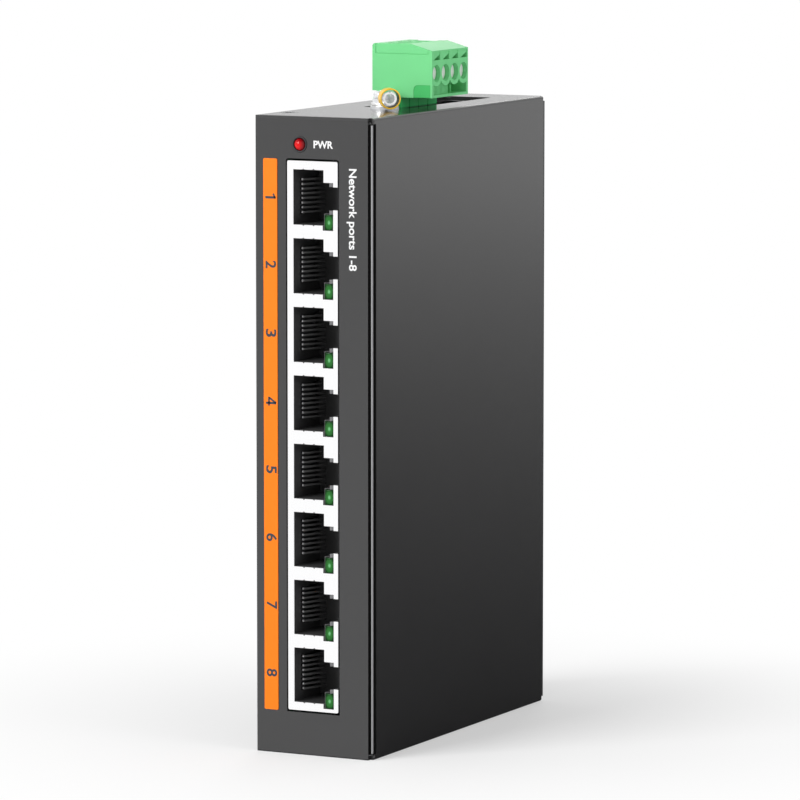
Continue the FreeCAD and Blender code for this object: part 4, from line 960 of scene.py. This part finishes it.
# %% Shape the lenses
for number in range(PORT_COUNT):
    z = port_heights[PORT_COUNT - 1 - number]
    lens = box_piece(f"lens_{number + 1}", at(16.78, 0.04, z - 7.04), at(18.94, 10.2, z - 3.66))
    start_edit(lens)
    pick(lens, faces=lambda middle, normal: normal.y < -0.9)
    bpy.ops.mesh.bevel(offset=0.22 * MM, segments=3, affect="EDGES")
    pick(lens, faces=lambda middle, normal: normal.y < -0.999)
    bpy.ops.mesh.inset(thickness=0.12 * MM, depth=-0.12 * MM)
    end_edit()
    bpy.ops.object.shade_smooth_by_angle(angle=math.radians(35))
    dress(lens, LENS, f"port_light_{number + 1}")
print("lenses:", PORT_COUNT)

# %% [markdown]
# ## Printed numbers and words
# Print is text turned into a mesh of almost no thickness and laid on the surface. The numbers on the
# strip and the words on the panel run downwards, so their line is turned a quarter to the right.

# %% Set a line of print
UPRIGHT = Matrix(((1, 0, 0, 0), (0, 0, -1, 0), (0, 1, 0, 0), (0, 0, 0, 1)))
DOWNWARD = Matrix(((0, 1, 0, 0), (0, 0, -1, 0), (-1, 0, 0, 0), (0, 0, 0, 1)))
PRINT_LIFT = 0.012


def set_type(words, weight):
    """Words in the plain typeface as a thin mesh, one unit tall."""
    bpy.ops.object.select_all(action="DESELECT")
    bpy.ops.object.text_add(location=(0.0, 0.0, 0.0))
    line = bpy.context.active_object
    line.data.body = words
    line.data.size = 1.0
    line.data.offset = weight
    line.data.extrude = 0.001
    bpy.ops.object.convert(target="MESH")
    return line


def bar_piece(name, left, low, right, high):
    """A thin flat bar to build a figure from."""
    return box_piece(name, Vector((left, low, -0.001)), Vector((right, high, 0.001)))


def lean(bar, degrees, centre):
    start_edit(bar)
    bpy.ops.transform.rotate(value=math.radians(degrees), orient_axis="Z", orient_type="GLOBAL",
                             center_override=(*centre, 0.0))
    end_edit()


def draw_one(weight):
    """A figure one with a flag, which the plain typeface lacks."""
    stroke = 0.1 + 2 * weight
    stem = bar_piece("one", 0.0, 0.0, stroke, 0.7)
    flag = bar_piece("flag", -0.2, 0.59, stroke * 0.8, 0.59 + stroke * 0.8)
    lean(flag, -28, (stroke * 0.5, 0.66))
    return merge([stem, flag])


def draw_four(weight):
    """A figure four with an open middle, which the plain typeface fills in."""
    stroke = 0.1 + 2 * weight
    stem = bar_piece("four", 0.3, 0.0, 0.3 + stroke, 0.7)
    bar = bar_piece("bar", 0.0, 0.15, 0.54, 0.15 + stroke * 0.85)
    slant = bar_piece("slant", 0.1, 0.2, 0.66, 0.2 + stroke * 0.8)
    lean(slant, -57, (0.1, 0.2))
    return merge([stem, bar, slant])


OWN_FIGURES = {"1": draw_one, "4": draw_four}


def print_line(name, words, tall, centre, turn, weight, wide):
    """Print of a given height, and width if there is one, its middle at a point of the surface."""
    line = OWN_FIGURES[words](weight) if words in OWN_FIGURES else set_type(words, weight)
    line.name = name
    line.data.name = name
    corners = [vertex.co for vertex in line.data.vertices]
    low = Vector((min(c.x for c in corners), min(c.y for c in corners), 0.0))
    high = Vector((max(c.x for c in corners), max(c.y for c in corners), 0.0))
    rise = tall * MM / (high.y - low.y)
    stretch = wide * MM / (high.x - low.x) if wide else rise
    line.data.transform(Matrix.Translation(-(low + high) / 2))
    line.data.transform(Matrix.Diagonal((stretch, rise, 0.01, 1.0)))
    line.data.transform(turn)
    line.data.transform(Matrix.Translation(centre))
    return line


print("print makers ready")

# %% Print the strip and the panel
strip_face = reach("number_strip")[0].y
FIGURE_WIDTHS = {"1": None, "4": 1.95}
FIGURE_TALL = 2.6
FIGURE_X = 3.8
numbers = []
for number, z in enumerate(reversed(port_heights)):
    figure = str(number + 1)
    centre = at(FIGURE_X, strip_face - PRINT_LIFT, z)
    numbers.append(print_line("number", figure, FIGURE_TALL, centre, DOWNWARD, 0.021,
                              FIGURE_WIDTHS.get(figure, 1.75)))
port_numbers = merge(numbers, "port_numbers")
dress(port_numbers, INK)
power_word = print_line("power_word", "PWR", 1.65, at(16.6, -PRINT_LIFT, 134.2), UPRIGHT, 0.029, 4.75)
port_words = print_line("port_words", "Network ports 1-8", 2.45, at(23.5, -PRINT_LIFT, 118.15), DOWNWARD,
                        0.02, 22.1)
panel_print = merge([power_word, port_words], "panel_print")
dress(panel_print, WHITE)
print("print faces:", len(port_numbers.data.polygons), len(panel_print.data.polygons))

# %% [markdown]
# ## Power light
# A moulded lens with a domed nose sits in a dark ring. The dome is half a sphere on a short barrel;
# it is tinted and very glossy, so that the lamps show as small spots on it.

# %% Tint the red lens
LIGHT_X, LIGHT_Z, LIGHT_RADIUS = 10.86, 134.12, 1.43


def red_material():
    """Clear red just below and left of the middle, darkening to nearly black where the lens meets its
    ring: painted light and shade.
    """
    material = finish("red lens", (0.6, 0.002, 0.004), 0.08, tone=0.3, drift=420.0, gloss=0.02,
                      bump=0.000001, shine=0.25)
    tree = material.node_tree
    # Painted light and shade: the red is brightest round this point and darkens towards the rim.
    spot = at(LIGHT_X - 0.25, -0.75, LIGHT_Z - 0.2)
    apart = on_vectors(tree, "DISTANCE", place_of(tree), spot)
    colour_along(material, arithmetic(tree, "DIVIDE", apart, 1.9 * MM),
                 [(0.3, (0.62, 0.002, 0.004)), (0.7, (0.24, 0.001, 0.004)), (0.95, (0.05, 0.0, 0.002))])
    return material


RED = red_material()
print("finish:", RED.name)

# %% Turn the power light
bpy.ops.object.select_all(action="DESELECT")
bpy.ops.mesh.primitive_uv_sphere_add(segments=48, ring_count=24, radius=LIGHT_RADIUS * MM,
                                     location=at(LIGHT_X, 0.55, LIGHT_Z),
                                     rotation=(math.pi / 2, 0.0, 0.0))
dome = placed("power_dome")
start_edit(dome)
bpy.ops.mesh.bisect(plane_co=at(LIGHT_X, 0.55, LIGHT_Z), plane_no=(0.0, 1.0, 0.0), clear_outer=True)
rim_y = at(0, 0.55, 0).y
pick(dome, edges=lambda a, b: near(a.y, rim_y) and near(b.y, rim_y))
bpy.ops.mesh.extrude_region_move(TRANSFORM_OT_translate={"value": (0.0, 4.0 * MM, 0.0)})
bpy.ops.mesh.edge_face_add()
bpy.ops.mesh.select_all(action="SELECT")
bpy.ops.mesh.normals_make_consistent(inside=False)
end_edit()
bpy.ops.object.shade_smooth_by_angle(angle=math.radians(40))
dress(dome, RED, "power_light")
print("dome faces:", len(dome.data.polygons))

# %% Set the dark ring
bpy.ops.object.select_all(action="DESELECT")
bpy.ops.mesh.primitive_torus_add(location=at(LIGHT_X, -0.02, LIGHT_Z), rotation=(math.pi / 2, 0.0, 0.0),
                                 major_radius=1.6 * MM, minor_radius=0.21 * MM,
                                 major_segments=48, minor_segments=12)
ring = placed("light_ring")
bpy.ops.object.shade_smooth()
dress(ring, CHIP)
print("ring faces:", len(ring.data.polygons))

# %% [markdown]
# ## Terminal plug
# The light green block carries four clamps. It starts as a box; the sloping top is cut by one
# bisecting plane, and the wells, screwdriver holes, small windows and the comb under the holes are
# cut with the same tools at each pole. A low step and fine joint lines show its lid.

# %% Shape the block
PLUG_LOW, PLUG_HIGH = reach("terminal_plug")
PLUG_BASE = 142.5
HOLE_Z = PLUG_BASE + 5.4
LID_LOW = 152.1
LID_EDGE = 20.35
POLE_PITCH = 4.5
poles = [PLUG_LOW.y + POLE_PITCH * (number + 0.5) for number in range(4)]
plug = box_piece("plug_block", at(PLUG_LOW.x, PLUG_LOW.y, PLUG_BASE), at(*PLUG_HIGH))
slope_from = Vector((LID_EDGE, 0.0, PLUG_HIGH.z))
slope_to = Vector((PLUG_HIGH.x, 0.0, 152.95))
run = slope_to - slope_from
facing = Vector((-run.z, 0.0, run.x)).normalized()
left_x, top_z = at(PLUG_LOW.x, 0, 0).x, at(0, 0, PLUG_HIGH.z).z
start_edit(plug)
bpy.ops.mesh.bisect(plane_co=at(*slope_from), plane_no=facing, clear_outer=True, use_fill=True)
end_edit()
round_edges(plug, 0.7, 5, lambda a, b: runs_along(a, b, 1) and near(a.x, left_x) and near(a.z, top_z))
print("block faces:", len(plug.data.polygons))

# %% Make the cutters for the ends
RECESS_LEFT, RECESS_RIGHT = 20.9, 25.05
LID_LINES = (((11.5, LID_LOW), (24.6, 152.26)), ((11.5, LID_LOW), (11.66, 155.0)),
             ((24.44, LID_LOW), (24.6, 155.0)))
tools = [
    box_piece("heel", at(PLUG_LOW.x - 1.0, 0, PLUG_BASE - 1.0), at(11.9, 100.0, PLUG_BASE + 1.4)),
    box_piece("lid step", at(0, PLUG_HIGH.y - 1.4, PLUG_HIGH.z - 0.28), at(LID_EDGE, 100.0, 160.0)),
]
recess_panels = []
for end, panel in ((PLUG_LOW.y, PLUG_LOW.y + 0.3), (PLUG_HIGH.y, PLUG_HIGH.y - 0.3)):
    for name, face, deep, keep in (("end recess", end, 0.45, tools),
                                   ("recess panel", panel, 0.2, recess_panels)):
        block = box_piece(name, at(RECESS_LEFT, face - deep, PLUG_BASE - 0.2),
                          at(RECESS_RIGHT, face + deep, PLUG_BASE + 2.85))
        round_edges(block, 1.1, 6, lambda a, b: runs_along(a, b, 1) and a.x < at(22, 0, 0).x
                    and a.z > at(0, 0, PLUG_BASE + 2).z)
        keep.append(block)
    for (low_x, low_z), (high_x, high_z) in LID_LINES:
        tools.append(box_piece("joint line", at(low_x, end - 0.14, low_z), at(high_x, end + 0.14, high_z)))
print("cutters for the ends:", len(tools))

# %% Cut the holes of each pole
SIGHT_LOW = 150.82
HOLE_RADIUS = 1.9
WELL_LEFT, WELL_RIGHT = 13.75, 19.25
for y in poles:
    tools.append(rod_piece("driver hole", at(PLUG_HIGH.x - 3.0, y, HOLE_Z), HOLE_RADIUS * MM, 8.0 * MM,
                          "X"))
    tools.append(box_piece("wire well", at(WELL_LEFT, y - 1.5, PLUG_BASE + 2.5),
                           at(WELL_RIGHT, y + 1.5, 160.0)))
    tools.append(box_piece("sight window", at(PLUG_HIGH.x - 0.15, y - 1.4, 150.8),
                           at(PLUG_HIGH.x + 1, y + 1.8, 152.62)))
    sight = box_piece("sight hole", at(PLUG_HIGH.x - 1.9, y - 1.2, SIGHT_LOW),
                      at(PLUG_HIGH.x + 0.5, y + 1.78, 152.05))
    start_edit(sight)
    bpy.ops.mesh.bisect(plane_co=at(PLUG_HIGH.x, y - 1.2, SIGHT_LOW),
                        plane_no=Vector((0.0, -1.23, 2.98)).normalized(), clear_outer=True, use_fill=True)
    end_edit()
    tools.append(sight)
cut_away(plug, tools)
print("plug faces:", len(plug.data.polygons))

# %% Cut the comb under the screwdriver holes
comb = box_piece("comb", at(PLUG_HIGH.x - 3.8, PLUG_LOW.y + 0.8, PLUG_BASE + 0.6),
                 at(PLUG_HIGH.x + 1.0, PLUG_HIGH.y - 0.8, PLUG_BASE + 4.0))
kept = []
for y in poles:
    kept.append(rod_piece("collar", at(PLUG_HIGH.x - 1.0, y, HOLE_Z), 2.85 * MM, 6.0 * MM, "X"))
for y in poles[:-1]:
    middle = y + POLE_PITCH / 2
    kept.append(box_piece("rib", at(PLUG_HIGH.x - 4.5, middle - 0.2, PLUG_BASE),
                          at(PLUG_HIGH.x - 2.2, middle + 0.2, PLUG_BASE + 5.0)))
cut_away(comb, kept)
cut_away(plug, [comb])
nose = box_piece("nose", at(11.9, PLUG_LOW.y + 1.0, PLUG_LOW.z),
                 at(16.8, PLUG_HIGH.y - 1.0, PLUG_BASE + 0.1))
soften(plug, 0.14 * MM, angle=40)
soften(nose, 0.2 * MM)
plug = merge([plug, nose], "plug_block")
dress(plug, GREEN, "terminal_plug")
print("plug faces:", len(plug.data.polygons))

# %% [markdown]
# ## Recess panels and comb fins
# The recess at each end of the block shows a deeper green, which is painted shade, and the comb is filled
# with thin fins.
# Both are parts of the one moulding. They are made apart because the panel needs its own colour and
# because fins this thin would make the cuts in the block fragile.

# %% Fill the recesses and the comb
panels = merge(recess_panels, "recess_panels")
cut_away(panels, [box_piece("trim", at(0, PLUG_LOW.y - 9, PLUG_BASE - 3),
                            at(99, PLUG_HIGH.y + 9, PLUG_BASE + 0.05))])
# Painted shade: the recess panels get the darker green.
dress(panels, RECESS_PAINTED_SHADE_GREEN)
fins = []
for number in range(12):
    y = PLUG_LOW.y + 1.0 + 0.62 * number
    fins.append(box_piece("fin", at(PLUG_HIGH.x - 1.0, y, PLUG_BASE + 0.5),
                          at(PLUG_HIGH.x - 0.2, y + 0.3, PLUG_BASE + 3.9)))
comb_fins = merge(fins, "comb_fins")
soften(comb_fins, 0.04 * MM, segments=1)
dress(comb_fins, GREEN)
print("fins:", len(fins))

# %% [markdown]
# ## Clamp screws
# A slotted screw head sits deep in each round hole. One head is a short cylinder with a slot cut
# across it, on a thinner stem; its edge is rounded last, so that it catches a line of light. They lie
# in the shade of the holes, so their zinc is duller than that of the earth screw.

# %% Turn the clamp screws
CLAMP_RADIUS, STEM_RADIUS = 1.72, 0.98
heads = []
head_face = reach("clamp_screws")[1].x
for y in poles:
    head = rod_piece("clamp head", at(head_face - 0.6, y, HOLE_Z), CLAMP_RADIUS * MM, 1.2 * MM, "X", 40)
    slot = box_piece("slot", at(head_face - 0.6, y - 0.22, PLUG_BASE + 3),
                     at(head_face + 1, y + 0.22, PLUG_BASE + 8))
    cut_away(head, [slot])
    heads.append(head)
    heads.append(rod_piece("clamp stem", at(head_face - 2.2, y, HOLE_Z), STEM_RADIUS * MM, 2.4 * MM,
                           "X", 24))
clamps = merge(heads, "clamp_heads")
soften(clamps, 0.1 * MM)
dress(clamps, DULL_ZINC, "clamp_screws")
print("clamp faces:", len(clamps.data.polygons))

# %% [markdown]
# ## Earth point
# A pan head screw holds a crimp lug. The head is a short cylinder with a deep rounded edge and a
# cross recess. The lug is drawn straight, ring first, with its open seam on top of the barrel, and
# then turned about the screw with its vinyl sleeve.

# %% Turn the screw
EARTH_X, EARTH_Y, PLATE = 15.8, 30.9, case_size.z
FLAT_WASHER, LUG_THICK, SPRING_WASHER = 0.6, 0.7, 0.8
HEAD_LOW = PLATE + FLAT_WASHER + LUG_THICK + SPRING_WASHER
HEAD_TALL = 1.9
HEAD_RADIUS, SHANK_RADIUS = 2.5, 1.5
screw = rod_piece("earth_bolt", at(EARTH_X, EARTH_Y, HEAD_LOW + HEAD_TALL / 2), HEAD_RADIUS * MM,
                  HEAD_TALL * MM, "Z", 64)
top_z = at(0, 0, HEAD_LOW + HEAD_TALL).z
round_edges(screw, 0.95, 6, lambda a, b: near(a.z, top_z) and near(b.z, top_z))
cross = [
    box_piece("cross", at(EARTH_X - long, EARTH_Y - wide, HEAD_LOW + 1.0),
              at(EARTH_X + long, EARTH_Y + wide, PLATE + 9))
    for long, wide in ((1.5, 0.3), (0.3, 1.5))
]
cut_away(screw, cross)
shank = rod_piece("shank", at(EARTH_X, EARTH_Y, HEAD_LOW - 4.2), SHANK_RADIUS * MM, 8.6 * MM, "Z",
                  32)
soften(screw, 0.08 * MM, angle=40)
screw = merge([screw, shank])
dress(screw, ZINC, "earth_screw")
print("screw faces:", len(screw.data.polygons))

# %% Form the lug
LUG_TURN = math.radians(36)
LUG_LOW = PLATE + FLAT_WASHER
BARREL_Z = LUG_LOW + 2.05
BARREL_START, BARREL_END = 3.1, 7.3
SLEEVE_START, SLEEVE_END = 4.9, 8.2
RING_RADIUS, BARREL_RADIUS, BORE_RADIUS, EYE_RADIUS = 3.0, 1.55, 1.05, 1.55


def lug_rod(name, start, end, radius):
    """A cylinder along the lug, between two distances from the ring's centre."""
    middle = at(EARTH_X, EARTH_Y - (start + end) / 2, BARREL_Z)
    return rod_piece(name, middle, radius * MM, (end - start) * MM, "Y")


def turn_lug(piece):
    """Turn a piece about the screw, to the direction in which the lug points."""
    centre = at(EARTH_X, EARTH_Y, 0)
    spin = Matrix.Rotation(LUG_TURN, 4, "Z")
    piece.data.transform(Matrix.Translation(centre) @ spin @ Matrix.Translation(-centre))


ring = rod_piece("lug ring", at(EARTH_X, EARTH_Y, LUG_LOW + LUG_THICK / 2), RING_RADIUS * MM,
                 LUG_THICK * MM, "Z", 64)
palm = box_piece("palm", at(EARTH_X - 1.05, EARTH_Y - SLEEVE_START + 0.1, LUG_LOW),
                 at(EARTH_X + 1.05, EARTH_Y, LUG_LOW + LUG_THICK))
tube = lug_rod("crimp_lug", BARREL_START, BARREL_END, BARREL_RADIUS)
boolean(tube, [ring], "UNION")
boolean(tube, [palm], "UNION")
slit = box_piece("slit", at(EARTH_X - 0.08, EARTH_Y - BARREL_END - 1.0, BARREL_Z + 0.4),
                 at(EARTH_X + 0.08, EARTH_Y - BARREL_START + 0.2, BARREL_Z + 3.0))
bore = lug_rod("bore", BARREL_START - 0.6, BARREL_END + 1.0, BORE_RADIUS)
eye = rod_piece("eye", at(EARTH_X, EARTH_Y, LUG_LOW), EYE_RADIUS * MM, 3.0 * MM, "Z", 32)
cut_away(tube, [bore, slit, eye])
soften(tube, 0.08 * MM, angle=40)
turn_lug(tube)
dress(tube, TIN, "earth_lug")
print("lug faces:", len(tube.data.polygons))

# %% Slip on the sleeve
SLEEVE_RADIUS, SLEEVE_BORE = 2.31, 1.93
RAMP_REACH = 3.0


def vinyl_material():
    """Bright outside, and dark in the bore, where hardly any light comes."""
    material = finish("yellow vinyl", (0.98, 0.6, 0.03), 0.35, tone=0.08, drift=300.0, bump=0.000002,
                      coat=0.12, shine=0.4)
    tree = material.node_tree
    apart = on_vectors(tree, "SUBTRACT", place_of(tree), at(EARTH_X, EARTH_Y, BARREL_Z))
    along = (math.sin(LUG_TURN), -math.cos(LUG_TURN), 0.0)
    radius = on_vectors(tree, "LENGTH", on_vectors(tree, "CROSS_PRODUCT", apart, along))
    colour_along(material, arithmetic(tree, "DIVIDE", radius, RAMP_REACH * MM),
                 [((SLEEVE_BORE + 0.02) / RAMP_REACH, (0.03, 0.012, 0.003)),
                  ((SLEEVE_BORE + 0.1) / RAMP_REACH, (0.98, 0.6, 0.04))])
    return material


sleeve = lug_rod("vinyl_sleeve", SLEEVE_START, SLEEVE_END, SLEEVE_RADIUS)
cut_away(sleeve, [lug_rod("sleeve bore", SLEEVE_START - 1.0, SLEEVE_END + 1.0, SLEEVE_BORE)])
soften(sleeve, 0.14 * MM, segments=3, angle=40)
turn_lug(sleeve)
dress(sleeve, vinyl_material(), "lug_sleeve")
print("sleeve faces:", len(sleeve.data.polygons))

# %% [markdown]
# ## Rail clip
# The hook and the latch behind the case are hidden in the picture but seen from the back. Copies of
# the solids get rounded edges: crisp ones on the extruded hook, softer ones on the moulded latch.

# %% Soften the rail clip
hook = merged_copy("rail_bracket", "rail_hook")
soften(hook, 0.25 * MM, angle=50)
dress(hook, ALLOY, "rail_bracket")
latch = merged_copy("rail_latch", "sprung_latch")
soften(latch, 0.3 * MM, segments=3, angle=50)
dress(latch, NYLON, "rail_latch", body="latch")
print("clip faces:", len(hook.data.polygons), len(latch.data.polygons))
